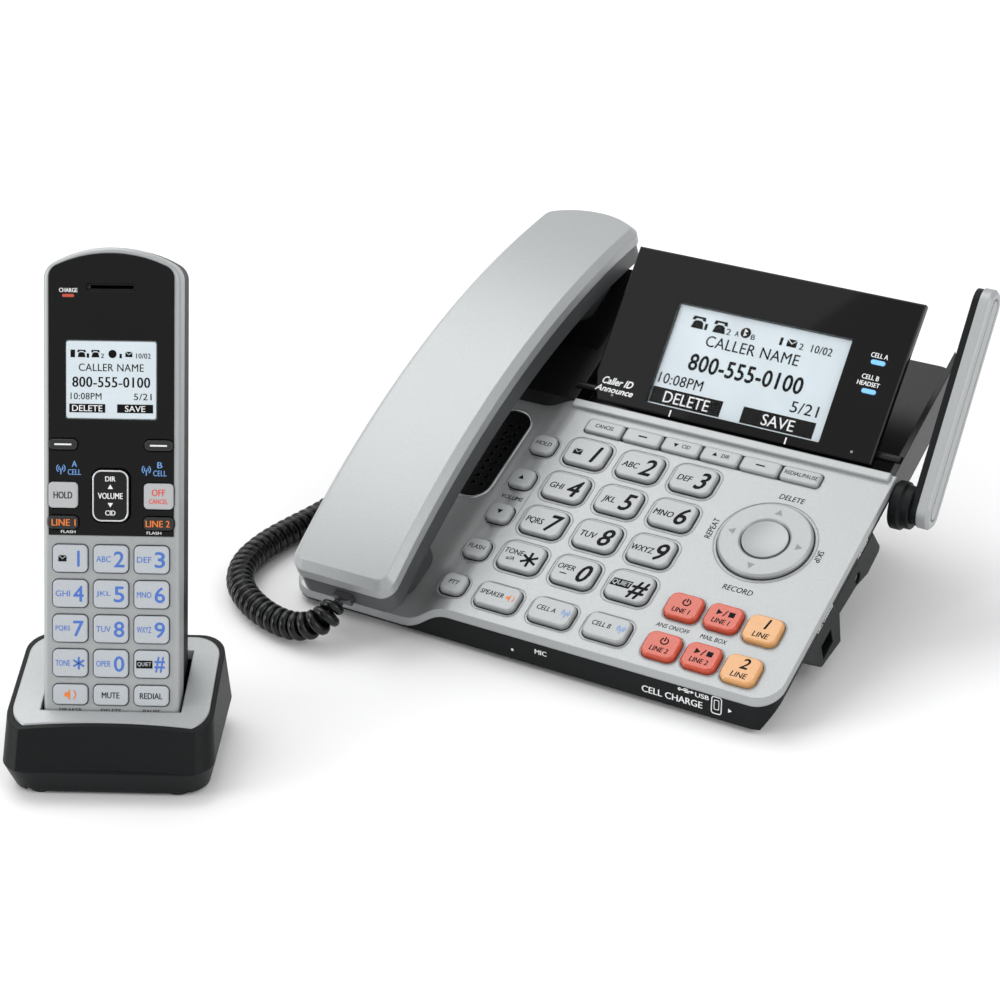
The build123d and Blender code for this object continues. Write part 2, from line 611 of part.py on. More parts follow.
def build_cord():
    """Curly cord as one fat tube, with a plug at each end."""
    radii = runs_and_radii(CORD_ROUTE)
    path = FilletPolyline(*CORD_ROUTE, radius=radii)
    start = Plane(origin=path @ 0, z_dir=path % 0)
    tube = sweep(start * Circle(COIL_DIAMETER / 2), path=path)
    expected = pi * COIL_DIAMETER**2 / 4 * path.length
    print("cord radii", [round(r, 1) for r in radii])
    print("cord length", round(path.length, 1), "volume ratio", round(tube.volume / expected, 4))
    path_end = CORD_ROUTE[-1][0]
    keep("cord_coil", tube)
    x, z = HANDSET_CENTRE_X, HANDSET_JACK_Z
    half_width, half_height = PLUG_WIDTH / 2, PLUG_HEIGHT / 2
    near = HANDSET_ARC[0][0]
    plug = block(x - half_width, x + half_width, near - 1.4, near + 7.0, z - half_height, z + half_height)
    keep("cord_plug_handset", on_deck(plug))
    keep("cord_plug_base", jack_opening(0) & block(path_end, path_end + 13.0, -BIG, BIG, 0, BIG))


# ---------------------------------------------------------------- charger and cordless handset
def charger_section(width, front, back, z):
    middle = (front + back) / 2
    return Location((0, middle, z)) * RectangleRounded(width, back - front, 9.0)


def charger_solid(inset):
    """Charger's outside without its sloping top: flared foot, crease, front leaning back."""
    half = CHARGER_DEPTH / 2 - inset
    width = CHARGER_WIDTH - 2 * inset
    crease = charger_section(width, -half, half, CHARGER_CREASE)
    foot = charger_section(width - 5, 3 - half, half - 3, FOOT_HEIGHT)
    height = 40.0
    slope = CHARGER_FRONT_LEAN / (CHARGER_FRONT_HEIGHT - CHARGER_CREASE)
    lean = slope * (height - CHARGER_CREASE)
    crown = charger_section(width - 4, lean - half, half - 2, height)
    upper = loft([crease, crown])
    radius = (CHARGER_WIDTH / 2) ** 2 / (2 * CHARGER_FRONT_HOLLOW)
    front = Location((0, -half, CHARGER_CREASE), (-degrees(atan2(slope, 1)), 0, 0))
    upper -= front * Location((0, CHARGER_FRONT_HOLLOW - radius, 0)) * Cylinder(radius, 200)
    return loft([foot, crease]) + upper


def charger_layer(z0, z1):
    """Slab along the charger's sloping top plane."""
    front_edge = CHARGER_FRONT_LEAN - CHARGER_DEPTH / 2
    top = Location((0, front_edge, CHARGER_FRONT_HEIGHT), (CHARGER_TOP_SLOPE, 0, 0))
    return top * block(-BIG, BIG, -BIG, BIG, z0, z1)


def build_charger():
    """Charger: black body with a waist crease, silver top plate and two sprung contacts."""
    body = charger_solid(0) - charger_layer(0, BIG)
    inside = charger_solid(CHARGER_RIM)
    body -= inside & charger_layer(-PLATE_THICKNESS - 0.05, 1)
    plate = charger_solid(CHARGER_RIM + 0.1) & charger_layer(-PLATE_THICKNESS, 0.35)
    pocket = cordless_envelope(0.9).moved(CHARGER.inverse() * CORDLESS)
    for y0, y1 in ((-25, -16), (16.5, 24)):
        body -= block(-26, 26, y0, y1, 0, 8.0)
    keep("charger_body", (body - pocket).moved(CHARGER))
    keep("charger_top_plate", (plate - pocket).moved(CHARGER))
    pins = []
    for x in (-9.0, 9.0):
        pins.append(block(x - 1.6, x + 1.6, -POCKET_FLOOR, -0.6, -16.0, -8.0))
    keep("charger_contacts", Compound(children=[pin.moved(CORDLESS) for pin in pins]))


def cordless_outline(inset):
    """Front outline of the cordless handset: straight sides, arched top, rounded foot."""
    half = CORDLESS_WIDTH / 2 - inset
    foot, shoulder, crown = inset, CORDLESS_LENGTH - 7.0, CORDLESS_LENGTH - inset
    outline = Curve() + [
        Line((-half, shoulder), (-half, foot)),
        Line((-half, foot), (half, foot)),
        Line((half, foot), (half, shoulder)),
        ThreePointArc((half, shoulder), (0, crown), (-half, shoulder)),
    ]
    face = make_face(outline)
    return fillet(face.vertices(), 6.0 - inset)


def cordless_envelope(gap):
    """Space that the cordless handset's foot and its way out take up."""
    half = CORDLESS_WIDTH / 2 + gap
    return block(-half, half, -POCKET_FLOOR, 260.0, -CORDLESS_DEPTH - gap, gap)


def build_cordless():
    """Cordless handset: silver front shell, black face, window, back shell, battery and keys."""
    face_foot, face_top = 66.4, CORDLESS_LENGTH - 1.2
    front = extrude(cordless_outline(0), -9.0)
    front = fillet(front.edges().group_by(Axis.Z)[-1], 1.6)
    front -= extrude(Location((0, 0, -2.0)) * cordless_outline(2.2), -9.0)
    black_zone = Location((0, (face_foot + face_top) / 2, 0)) * Box(
        CORDLESS_WIDTH - 3.6, face_top - face_foot, 40
    )
    recess = extrude(Location((0, 0, -0.9)) * cordless_outline(1.8), 4.0) & black_zone
    front -= recess
    panel_zone = Location((0, (face_foot + face_top) / 2, 0)) * Box(
        CORDLESS_WIDTH - 3.8, face_top - face_foot - 0.1, 40
    )
    panel = extrude(Location((0, 0, -0.9)) * cordless_outline(1.9), 1.1) & panel_zone
    window_box = (-14.6, 14.6, 103.3, 128.3)
    panel -= soft_block(*window_box, -20, 20, 0.8)
    panel -= pill(0, 145.0, 16.0, 2.4, -20, 20, 1.1)
    window = soft_block(
        window_box[0] + 0.1, window_box[1] - 0.1, window_box[2] + 0.1, window_box[3] - 0.1, -0.85, 0.1, 0.7
    )
    number_keys = []
    for row, y in enumerate((59.0, 47.8, 36.6, 25.5, 15.35)):
        for x in (-13.0, 0.0, 13.0):
            number_keys.append((x, y, 11.0, 8.7 if row < 4 else 6.4))
    function_keys = [(x, 79.2, 9.4, 8.2) for x in (-15.2, 15.2)]
    function_keys += [(x, 95.3, 9.0, 3.4) for x in (-15.2, 15.2)]
    function_keys += [(x, 70.5, 9.6, 4.2) for x in (-15.2, 15.2)]
    for x, y, width, height in number_keys + function_keys:
        well = pill(x, y, width + 0.6, height + 0.6, -12, 12, 1.9)
        front -= well
        panel -= well
    rocker_well = pill(0, 79.2, 12.6, 17.4, -12, 12, 3.3)
    front -= rocker_well
    panel -= rocker_well
    front -= pill(0, 145.0, 14.0, 1.6, -12, 12, 0.7)
    back = extrude(Location((0, 0, -9.05)) * cordless_outline(0.3), -(CORDLESS_DEPTH - 9.05))
    back = fillet(back.edges().group_by(Axis.Z)[0], 5.0)
    back -= extrude(Location((0, 0, -8.0)) * cordless_outline(2.4), -(CORDLESS_DEPTH - 10.2))
    door = soft_block(-16.0, 16.0, 34.0, 96.0, -CORDLESS_DEPTH - 0.6, -CORDLESS_DEPTH + 1.2, 3.0)
    back -= soft_block(-16.2, 16.2, 33.8, 96.2, -CORDLESS_DEPTH - 4, -CORDLESS_DEPTH + 1.3, 3.2)
    battery = [
        Location((x, 64.0, -16.6), (90, 0, 0)) * Cylinder(4.9, 44.0) for x in (-10.2, 0.0, 10.2)
    ]
    strips = [block(x - 2.2, x + 2.2, -0.35, 0.0, -16.5, -11.0) for x in (-9.0, 9.0)]
    keep("cordless_front_shell", front.moved(CORDLESS))
    keep("cordless_face_panel", panel.moved(CORDLESS))
    keep("cordless_window", window.moved(CORDLESS))
    keep("cordless_back_shell", back.moved(CORDLESS))
    keep("battery_door", door.moved(CORDLESS))
    keep("battery_pack", Compound(children=[cell.moved(CORDLESS) for cell in battery]))
    keep("cordless_contacts", Compound(children=[strip.moved(CORDLESS) for strip in strips]))
    caps = [pill(x, y, w, h, -3.4, 0.9, 1.6, top=0.4) for x, y, w, h in number_keys]
    keep("cordless_number_keys", Compound(children=[cap.moved(CORDLESS) for cap in caps]))
    caps = [pill(x, y, w, h, -3.4, 1.0, 1.4, top=0.4) for x, y, w, h in function_keys]
    keep("cordless_function_keys", Compound(children=[cap.moved(CORDLESS) for cap in caps]))
    rocker = pill(0, 79.2, 11.9, 16.7, -3.4, 1.5, 3.0, top=0.6)
    keep("cordless_rocker", rocker.moved(CORDLESS))


# ---------------------------------------------------------------- assembly
def main():
    openings = build_keys()
    build_deck(openings)
    build_speaker()
    build_lower_shell()
    hinge = build_rear_housing()
    build_hook_switch()
    build_bracket()
    build_feet_and_screws()
    build_electronics()
    build_side_ports()
    build_display()
    build_mast()
    build_handset()
    build_cord()
    build_charger()
    build_cordless()
    boxes = [shape.bounding_box() for name, shape in parts.items() if name not in cord_nodes]
    middle_x = (min(box.min.X for box in boxes) + max(box.max.X for box in boxes)) / 2
    middle_y = (min(box.min.Y for box in boxes) + max(box.max.Y for box in boxes)) / 2
    shift = Location((-middle_x, -middle_y, 0))
    os.makedirs("parts", exist_ok=True)
    for name, shape in parts.items():
        export_step(shape.moved(shift), f"parts/{name}.step")
    print("shift", shift.position, "hinge", hinge + shift.position)


main()
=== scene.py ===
"""Looks of the desk telephone set: base with corded handset, curly cord, tilting display and
aerial mast, and the cordless handset in its charger.  Metres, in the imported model's own frame."""

import json
import math

import bmesh
import bpy
from mathutils import Matrix, Vector


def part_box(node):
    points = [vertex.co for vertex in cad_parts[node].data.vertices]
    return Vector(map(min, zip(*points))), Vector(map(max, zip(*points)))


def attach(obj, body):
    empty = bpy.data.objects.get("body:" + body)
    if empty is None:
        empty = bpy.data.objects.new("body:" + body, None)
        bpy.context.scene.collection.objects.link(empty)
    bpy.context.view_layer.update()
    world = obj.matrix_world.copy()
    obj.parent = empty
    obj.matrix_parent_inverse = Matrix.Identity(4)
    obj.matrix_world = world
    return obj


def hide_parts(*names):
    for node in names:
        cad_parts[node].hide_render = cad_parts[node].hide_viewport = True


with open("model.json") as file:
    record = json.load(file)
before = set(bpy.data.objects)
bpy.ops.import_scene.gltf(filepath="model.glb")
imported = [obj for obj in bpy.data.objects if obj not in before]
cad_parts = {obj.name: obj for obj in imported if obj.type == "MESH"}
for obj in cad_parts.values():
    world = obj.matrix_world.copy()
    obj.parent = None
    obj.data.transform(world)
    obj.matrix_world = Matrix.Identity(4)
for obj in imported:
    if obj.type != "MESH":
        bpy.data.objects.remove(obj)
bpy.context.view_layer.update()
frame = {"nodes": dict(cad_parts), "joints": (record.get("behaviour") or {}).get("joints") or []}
MM = 0.001
joints = {joint["name"]: joint for joint in frame["joints"]}


# ---------------------------------------------------------------- reference frames
def place(origin, x_axis, y_axis, z_axis):
    """Matrix of a local frame whose units are millimetres."""
    matrix = Matrix((x_axis, y_axis, z_axis)).transposed().to_4x4()
    return Matrix.Translation(origin) @ matrix @ Matrix.Scale(MM, 4)


def tilted(origin, degrees):
    """Frame at a point, leaning back about the X axis."""
    angle = math.radians(degrees)
    up_slope = Vector((0, math.cos(angle), math.sin(angle)))
    normal = Vector((0, -math.sin(angle), math.cos(angle)))
    return place(origin, Vector((1, 0, 0)), up_slope, normal)


# Places in the part's own working frame, in mm, and its angles.
MAST_PIVOT = Vector((117.0, 22.6, 45.0))
KEY_ONE = Vector((0, 0, 46.4))                      # middle of dial key 1, on the deck
CHARGER_CENTRE = Vector((-70.9, -187.9, 0.0))
CORDLESS_SEAT = (-14.5, 13.2)                       # from the charger's centre: to its back, and up
PANEL_FACE = (0, -5.0, 4.6)                         # from the display's hinge to its face's lower edge
CAMERA_AT, CAMERA_AIM = (383.3, -723.2, 445.2), (-0.4476, 0.7702, -0.4543)
DECK_TILT, PANEL_TILT = 23.0, 49.1                  # degrees
CHARGER_YAW, CORDLESS_LEAN = math.radians(28.0), math.radians(22.0)

SHIFT = Vector(joints["mast_tilt"]["pos_m"]) - MAST_PIVOT * MM
HINGE = Vector(joints["display_tilt"]["pos_m"])


def working(point):
    """A point of the part's working frame, in mm, in the row's frame, in metres."""
    return Vector(point) * MM + SHIFT


DECK = tilted(working(KEY_ONE), DECK_TILT)
PANEL = tilted(Vector((SHIFT.x, HINGE.y, HINGE.z)), PANEL_TILT) @ Matrix.Translation(PANEL_FACE)
CHARGER_SIDE = Vector((math.cos(CHARGER_YAW), math.sin(CHARGER_YAW), 0))
CHARGER_BACK = Vector((-math.sin(CHARGER_YAW), math.cos(CHARGER_YAW), 0))
UP = Vector((0, 0, 1))
CORDLESS = place(
    working(CHARGER_CENTRE) + (CHARGER_BACK * CORDLESS_SEAT[0] + UP * CORDLESS_SEAT[1]) * MM,
    CHARGER_SIDE,
    CHARGER_BACK * math.sin(CORDLESS_LEAN) + UP * math.cos(CORDLESS_LEAN),
    UP * math.sin(CORDLESS_LEAN) - CHARGER_BACK * math.cos(CORDLESS_LEAN),
)
BASE_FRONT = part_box("base_shell")[0].y
FRONT = place(Vector((SHIFT.x, BASE_FRONT, 0)), Vector((1, 0, 0)), UP, Vector((0, -1, 0)))


# ---------------------------------------------------------------- camera
def build_camera():
    """Long lens, seen from the front right and above."""
    data = bpy.data.cameras.new("camera")
    data.lens, data.sensor_width = 90.0, 36.0
    data.clip_start, data.clip_end = 0.05, 20.0
    camera = bpy.data.objects.new("camera", data)
    camera.rotation_euler = Vector(CAMERA_AIM).normalized().to_track_quat("-Z", "Y").to_euler()
    camera.location = working(CAMERA_AT)
    bpy.context.scene.collection.objects.link(camera)
    bpy.context.scene.camera = camera


build_camera()


# ---------------------------------------------------------------- materials
class Shader:
    """A Principled material with a few helpers for its nodes."""

    def __init__(self, name, color, roughness, metallic=0.0, coat=0.0, shine=0.5):
        self.material = bpy.data.materials.new(name)
        self.material.use_nodes = True
        self.nodes = self.material.node_tree.nodes
        self.links = self.material.node_tree.links
        self.base = self.nodes["Principled BSDF"]
        self.color = color
        self.base.inputs["Base Color"].default_value = (*color, 1)
        self.base.inputs["Roughness"].default_value = roughness
        self.base.inputs["Metallic"].default_value = metallic
        self.base.inputs["Coat Weight"].default_value = coat
        self.base.inputs["Coat Roughness"].default_value = 0.05
        self.base.inputs["Specular IOR Level"].default_value = shine
        self.where = self.nodes.new("ShaderNodeTexCoord").outputs["Object"]

    def noise(self, scale, detail=3.0):
        node = self.nodes.new("ShaderNodeTexNoise")
        node.inputs["Scale"].default_value = scale
        node.inputs["Detail"].default_value = detail
        self.links.new(self.where, node.inputs["Vector"])
        return node.outputs["Fac"]

    def ramp(self, source, low, high):
        """Stretches the usual range of a noise onto another range."""
        node = self.nodes.new("ShaderNodeMapRange")
        node.inputs["From Min"].default_value = 0.3
        node.inputs["From Max"].default_value = 0.7
        node.inputs["To Min"].default_value = low
        node.inputs["To Max"].default_value = high
        self.links.new(source, node.inputs["Value"])
        return node.outputs["Result"]

    def vary_color(self, source, spread):
        """Lightens and darkens the base colour by a share."""
        node = self.nodes.new("ShaderNodeMix")
        node.data_type = "RGBA"
        node.inputs["A"].default_value = (*[c * (1 - spread) for c in self.color], 1)
        node.inputs["B"].default_value = (*[min(c * (1 + spread), 1) for c in self.color], 1)
        self.links.new(self.ramp(source, 0.0, 1.0), node.inputs["Factor"])
        self.links.new(node.outputs["Result"], self.base.inputs["Base Color"])

    def vary_roughness(self, source, low, high):
        self.links.new(self.ramp(source, low, high), self.base.inputs["Roughness"])

    def relief(self, source, depth, edge=0.0):
        """Bump of a given depth in metres, over softly rounded edges."""
        bump = self.nodes.new("ShaderNodeBump")
        bump.inputs["Strength"].default_value = 1.0
        bump.inputs["Distance"].default_value = depth
        self.links.new(source, bump.inputs["Height"])
        if edge:
            rounded = self.nodes.new("ShaderNodeBevel")
            rounded.samples = 4
            rounded.inputs["Radius"].default_value = edge
            self.links.new(rounded.outputs["Normal"], bump.inputs["Normal"])
        self.links.new(bump.outputs["Normal"], self.base.inputs["Normal"])


def plastic(name, color, roughness, grain, depth, spread=0.04, edge=0.0, **options):
    """Moulded or painted plastic: fine grain, faint mottling, slightly uneven gloss."""
    shader = Shader(name, color, roughness, **options)
    shader.vary_color(shader.noise(grain * 0.6, 2.0), spread)
    shader.vary_roughness(shader.noise(900.0), roughness * 0.92, min(roughness * 1.08, 1.0))
    shader.relief(shader.noise(grain), depth, edge)
    return shader.material


def glowing(name, color, roughness, glow, grain=900.0):
    """Translucent tinted plastic that glows a little by itself; on the red and amber keys this glow is
    painted light.
    """
    shader = Shader(name, color, roughness, coat=0.4)
    shader.base.inputs["Emission Color"].default_value = (*color, 1)
    shader.base.inputs["Emission Strength"].default_value = glow
    shader.base.inputs["Subsurface Weight"].default_value = 0.15
    shader.base.inputs["Subsurface Radius"].default_value = (0.002, 0.0008, 0.0004)
    shader.vary_color(shader.noise(grain, 2.0), 0.05)
    shader.relief(shader.noise(260.0, 2.0), 0.000012, 0.0005)
    return shader.material


def banded(material, node, axis, low, high, inside):
    """Gives the stretch of a node between two distances along an axis its own colour."""
    nodes, links = material.node_tree.nodes, material.node_tree.links
    base = nodes["Principled BSDF"]
    local = frame["nodes"][node].matrix_world.inverted()
    start, stop = local @ (axis @ Vector((0, low, 0))), local @ (axis @ Vector((0, high, 0)))
    span = stop - start
    reach = nodes.new("ShaderNodeVectorMath")
    reach.operation = "DOT_PRODUCT"
    reach.inputs[1].default_value = span / span.length_squared
    where = nodes.new("ShaderNodeTexCoord").outputs["Object"]
    links.new(where, reach.inputs[0])
    middle = nodes.new("ShaderNodeMath")
    middle.operation = "COMPARE"
    middle.inputs[1].default_value = start.dot(span) / span.length_squared + 0.5
    middle.inputs[2].default_value = 0.5
    links.new(reach.outputs["Value"], middle.inputs[0])
    mix = nodes.new("ShaderNodeMix")
    mix.data_type = "RGBA"
    links.new(middle.outputs["Value"], mix.inputs["Factor"])
    links.new(base.inputs["Base Color"].links[0].from_socket, mix.inputs["A"])
    mix.inputs["B"].default_value = (*inside, 1)
    links.new(mix.outputs["Result"], base.inputs["Base Color"])
    return material


def clear_glass(name):
    """Thin clear pane."""
    shader = Shader(name, (0.97, 0.98, 0.99), 0.03)
    shader.base.inputs["Transmission Weight"].default_value = 1.0
    shader.base.inputs["Alpha"].default_value = 0.12
    shader.relief(shader.noise(30.0), 0.000002)
    return shader.material


SILVER = plastic("silver_paint", (0.385, 0.40, 0.405), 0.40, 5200, 0.000012, 0.08, 0.0006, metallic=0.4)
BRIGHT = plastic("silver_rim", (0.66, 0.68, 0.69), 0.24, 5200, 0.000006, 0.04, metallic=0.7)
KEY = plastic("key_plastic", (0.35, 0.365, 0.37), 0.36, 2600, 0.000005, 0.03, 0.0006, metallic=0.3)
PALE_KEY = plastic("pale_key_plastic", (0.46, 0.49, 0.52), 0.4, 2600, 0.000005, 0.03, 0.0004)
PADS = plastic("cordless_pads", (0.012, 0.0125, 0.013), 0.3, 2600, 0.000005, 0.1, 0.0004)
BLACK = plastic("black_plastic", (0.0045, 0.0058, 0.0063), 0.46, 2600, 0.00002, 0.12, 0.0006, shine=0.18)
SIDE_GREY = plastic("handset_side_grey", (0.060, 0.064, 0.066), 0.42, 2600, 0.00001, 0.08, 0.0005)
GLOSS = plastic("gloss_black", (0.003, 0.003, 0.0033), 0.04, 40, 0.000002, 0.1, 0.0004, shine=0.22)
DEEP = plastic("deep_black", (0.005, 0.005, 0.006), 0.3, 1800, 0.00001, 0.1, 0.0005, shine=0.3)
CORD_BLACK = plastic("cord_jacket", (0.005, 0.0055, 0.006), 0.22, 1500, 0.000008, 0.12, shine=0.35)
RUBBER = plastic("rubber", (0.022, 0.022, 0.023), 0.82, 3000, 0.00003, 0.15)
STEEL = plastic("plated_steel", (0.62, 0.61, 0.58), 0.25, 3000, 0.000006, 0.06, 0.0002, metallic=1.0)
BOARD = plastic("circuit_board", (0.03, 0.16, 0.07), 0.4, 700, 0.00004, 0.25)
BATTERY = plastic("battery_sleeve", (0.10, 0.22, 0.34), 0.35, 1200, 0.00001, 0.1)
# Red and amber keys glow a little: painted glow that brightens them.
RED = glowing("red_key_plastic", (0.52, 0.06, 0.022), 0.2, 0.02)
AMBER = glowing("amber_key_plastic", (0.62, 0.31, 0.11), 0.18, 0.03)
LAMP = glowing("lamp_lens", (0.16, 0.42, 0.80), 0.2, 0.5)
SCREEN = glowing("screen_glass", (0.56, 0.63, 0.67), 0.28, 0.16, 60.0)
CLEAR = clear_glass("clear_window")
SMOKE = glowing("clear_plug_moulding", (0.05, 0.05, 0.055), 0.1, 0.0)
INK = plastic("black_print", (0.004, 0.004, 0.0045), 0.55, 4000, 0.000003, 0.15, shine=0.1)
WHITE_INK = plastic("white_print", (0.82, 0.83, 0.84), 0.5, 4000, 0.000003, 0.04)
GREY_INK = plastic("grey_print", (0.24, 0.25, 0.26), 0.5, 4000, 0.000003, 0.08)
BLUE_INK = plastic("blue_print", (0.06, 0.16, 0.52), 0.5, 4000, 0.000003, 0.1)
PALE_BLUE = plastic("pale_blue_print", (0.14, 0.32, 0.66), 0.5, 4000, 0.000003, 0.06)
ORANGE_INK = plastic("orange_print", (0.78, 0.19, 0.02), 0.5, 4000, 0.000003, 0.06)
RED_INK = plastic("red_print", (0.75, 0.05, 0.03), 0.5, 4000, 0.000003, 0.06)

DIAL_KEYS = [f"key_{name}" for name in "0123456789"] + ["key_star", "key_hash"]
PALE_BAND = (74.5, 84.0)        # stretch of the cordless handset with pale function keys, mm
FINISHES = {
    "deck_shell": SILVER, "handset_upper_shell": SILVER, "mast_outer_shell": SILVER,
    "charger_top_plate": SILVER, "cordless_front_shell": SILVER, "speaker_grille": DEEP,
    "base_shell": BLACK, "rear_housing": DEEP, "desk_stand": BLACK, "port_housing": BLACK,
    "display_cover": DEEP, "mast_inner_shell": BLACK, "mast_hub": BLACK,
    "handset_lower_shell": SIDE_GREY, "charger_body": BLACK, "cordless_back_shell": BLACK,
    "battery_door": BLACK, "hook_switch": BLACK, "display_bezel": GLOSS,
    "cordless_face_panel": GLOSS, "display_window": CLEAR, "cordless_window": CLEAR,
    "display_screen": SCREEN, "display_lamps": LAMP, "answer_keys": RED, "line_keys": AMBER,
    "side_keys": KEY, "call_keys": KEY, "soft_keys": KEY, "navigation_ring": KEY,
    "navigation_centre": KEY, "cordless_number_keys": PALE_KEY, "cordless_rocker": DEEP,
    "cordless_function_keys": banded(
        PADS, "cordless_function_keys", CORDLESS, *PALE_BAND, (0.44, 0.45, 0.46)),
    "rubber_feet": RUBBER, "key_mat": RUBBER, "stand_screws": STEEL, "loudspeaker": STEEL,
    "port_contacts": STEEL, "charger_contacts": STEEL, "cordless_contacts": STEEL,
    "main_board": BOARD, "handset_capsules": BLACK, "rear_sockets": DEEP,
    "battery_pack": BATTERY, "cord_plug_handset": SMOKE, "cord_plug_base": SMOKE,
}
FINISHES.update({name: KEY for name in DIAL_KEYS})


def finish_nodes():
    """Gives every carried-over CAD node its material."""
    for name, material in FINISHES.items():
        data = frame["nodes"][name].data
        data.materials.clear()
        data.materials.append(material)


finish_nodes()


# ---------------------------------------------------------------- pieces in mesh code, in mm
PRINT = 0.02            # how far the print's middle stands above a surface
FILM = 0.06             # thickness of printed shapes, and how far a second layer stands above the first
TEXT_THICKNESS = 0.04
STAGGER = 0.002         # each copy of thickened text stands this much above the one before
HEAVY = 0.1             # from this boldness on, strokes thicken up and down as well as sideways


class Piece:
    """One visible piece, gathered from several meshes before it becomes an object."""

    def __init__(self, name, body, material, slot):
        self.name, self.body, self.material, self.slot = name, body, material, slot
        self.mesh = bmesh.new()

    def add(self, mesh, matrix):
        copy = mesh.copy()
        copy.transform(matrix)
        self.mesh.from_mesh(copy)
        bpy.data.meshes.remove(copy)

    def outline(self, points, frame_matrix, z, thickness=FILM):
        """Flat closed shape given by its outline, standing slightly proud."""
        bottom = [self.mesh.verts.new(frame_matrix @ Vector((x, y, z))) for x, y in points]
        top = [self.mesh.verts.new(frame_matrix @ Vector((x, y, z + thickness))) for x, y in points]
        self.mesh.faces.new(top)
        self.mesh.faces.new(list(reversed(bottom)))
        count = len(points)
        for i in range(count):
            j = (i + 1) % count
            self.mesh.faces.new((bottom[i], bottom[j], top[j], top[i]))

    def done(self, smooth=False):
        bmesh.ops.recalc_face_normals(self.mesh, faces=self.mesh.faces)
        data = bpy.data.meshes.new(self.name)
        self.mesh.to_mesh(data)
        self.mesh.free()
        data.materials.append(self.material)
        for polygon in data.polygons:
            polygon.use_smooth = smooth
        piece = bpy.data.objects.new(self.name, data)
        bpy.context.scene.collection.objects.link(piece)
        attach(piece, self.body)


def lettering(text, size, slant=0.0, spacing=1.0, width=1.0):
    """Mesh of a line of text, in millimetres, its middle at the origin.

    A size given as (width, height) stretches the text to fill it."""
    box = None
    if isinstance(size, tuple):
        box, size = size, size[1] * 1.4
    curve = bpy.data.curves.new("lettering", "FONT")
    curve.body = text
    curve.size = size
    curve.shear = slant
    curve.align_x = "CENTER"
    curve.align_y = "CENTER"
    curve.space_character = spacing
    curve.extrude = TEXT_THICKNESS / 2
    curve.resolution_u = 3
    holder = bpy.data.objects.new("lettering", curve)
    mesh = bpy.data.meshes.new_from_object(holder)
    mesh.transform(Matrix.Diagonal((width, 1, 1, 1)))
    if box:
        xs = [vertex.co.x for vertex in mesh.vertices]
        ys = [vertex.co.y for vertex in mesh.vertices]
        middle = Vector(((min(xs) + max(xs)) / 2, (min(ys) + max(ys)) / 2, 0))
        stretch = (box[0] / (max(xs) - min(xs)), box[1] / (max(ys) - min(ys)), 1, 1)
        mesh.transform(Matrix.Diagonal(stretch) @ Matrix.Translation(-middle))
    bpy.data.objects.remove(holder)
    bpy.data.curves.remove(curve)
    return mesh


def write(piece, text, x, y, z, size, matrix, turn=0.0, bold=0.0, **style):
    """Prints text on a surface of a local frame; bold is how far its strokes are thickened."""
    mesh = lettering(text, size, **style)
    spot = Matrix.Translation((x, y, z)) @ Matrix.Rotation(math.radians(turn), 4, "Z")
    shifts = [(-bold, 0), (bold, 0)] if bold else [(0, 0)]
    if bold >= HEAVY:
        shifts += [(0, -bold), (0, bold)]
    for rise, (dx, dy) in enumerate(shifts):
        piece.add(mesh, matrix @ spot @ Matrix.Translation((dx, dy, rise * STAGGER)))
    bpy.data.meshes.remove(mesh)


def polar(x, y, radius, degrees):
    """Point at a distance and an angle from a centre."""
    angle = math.radians(degrees)
    return x + radius * math.cos(angle), y + radius * math.sin(angle)


def scaled(points, x, y, size):
    """An outline drawn round the origin at unit size, scaled and moved."""
    return [(x + px * size, y + py * size) for px, py in points]


def circle(x, y, radius, steps=48):
    """Points round a circle."""
    return [polar(x, y, radius, 360 * i / steps) for i in range(steps)]


def arc_band(x, y, outer, inner, start, stop, steps, side=1):
    """Outline of a stretch of flat ring between two angles; side -1 mirrors it left to right."""
    turns = [start + (stop - start) * i / steps for i in range(steps + 1)]
    rim = [polar(x, y, side * outer, side * turn) for turn in turns]
    return rim + [polar(x, y, side * inner, side * turn) for turn in reversed(turns)]


def rounded_outline(x, y, width, height, corner, steps=6):
    """Points round a rounded rectangle."""
    points = []
    for quarter, (right, up) in enumerate(((1, 1), (-1, 1), (-1, -1), (1, -1))):
        centre = (x + right * (width / 2 - corner), y + up * (height / 2 - corner))
        points += [polar(*centre, corner, 90 * (quarter + i / steps)) for i in range(steps + 1)]
    return points


def bar(piece, x, y, width, height, matrix, z, slant=0.0):
    """Small printed rectangle or dash."""
    w, h, s = width / 2, height / 2, slant * height / 2
    corners = [(x - w - s, y - h), (x + w - s, y - h), (x + w + s, y + h), (x - w + s, y + h)]
    piece.outline(corners, matrix, z)


def triangle(piece, x, y, size, turn, matrix, z):
    """Small printed triangle, one corner pointing along its turn."""
    piece.outline([polar(x, y, size, turn + 120 * i) for i in range(3)], matrix, z)


def asterisk(piece, x, y, length, width, matrix, z):
    """Three crossed bars."""
    for turn in (90, 150, 210):
        spot = matrix @ Matrix.Translation((x, y, 0)) @ Matrix.Rotation(math.radians(turn), 4, "Z")
        bar(piece, 0, 0, length, width, spot, z)


def ring_loop(piece, outline, matrix, z, radius):
    """Thin round bead that follows a closed outline."""
    count, sides = len(outline), 8
    rings = []
    for i in range(count):
        before, here, after = (Vector(outline[j % count]) for j in (i - 1, i, i + 1))
        forward = (after - before).normalized()
        across = Vector((forward.y, -forward.x))
        ring = []
        for k in range(sides):
            out, rise = polar(0, z, radius, 360 * k / sides)
            side = here + across * out
            ring.append(piece.mesh.verts.new(matrix @ Vector((side.x, side.y, rise))))
        rings.append(ring)
    for i in range(count):
        a, b = rings[i], rings[(i + 1) % count]
        for k in range(sides):
            m = (k + 1) % sides
            piece.mesh.faces.new((a[k], a[m], b[m], b[k]))


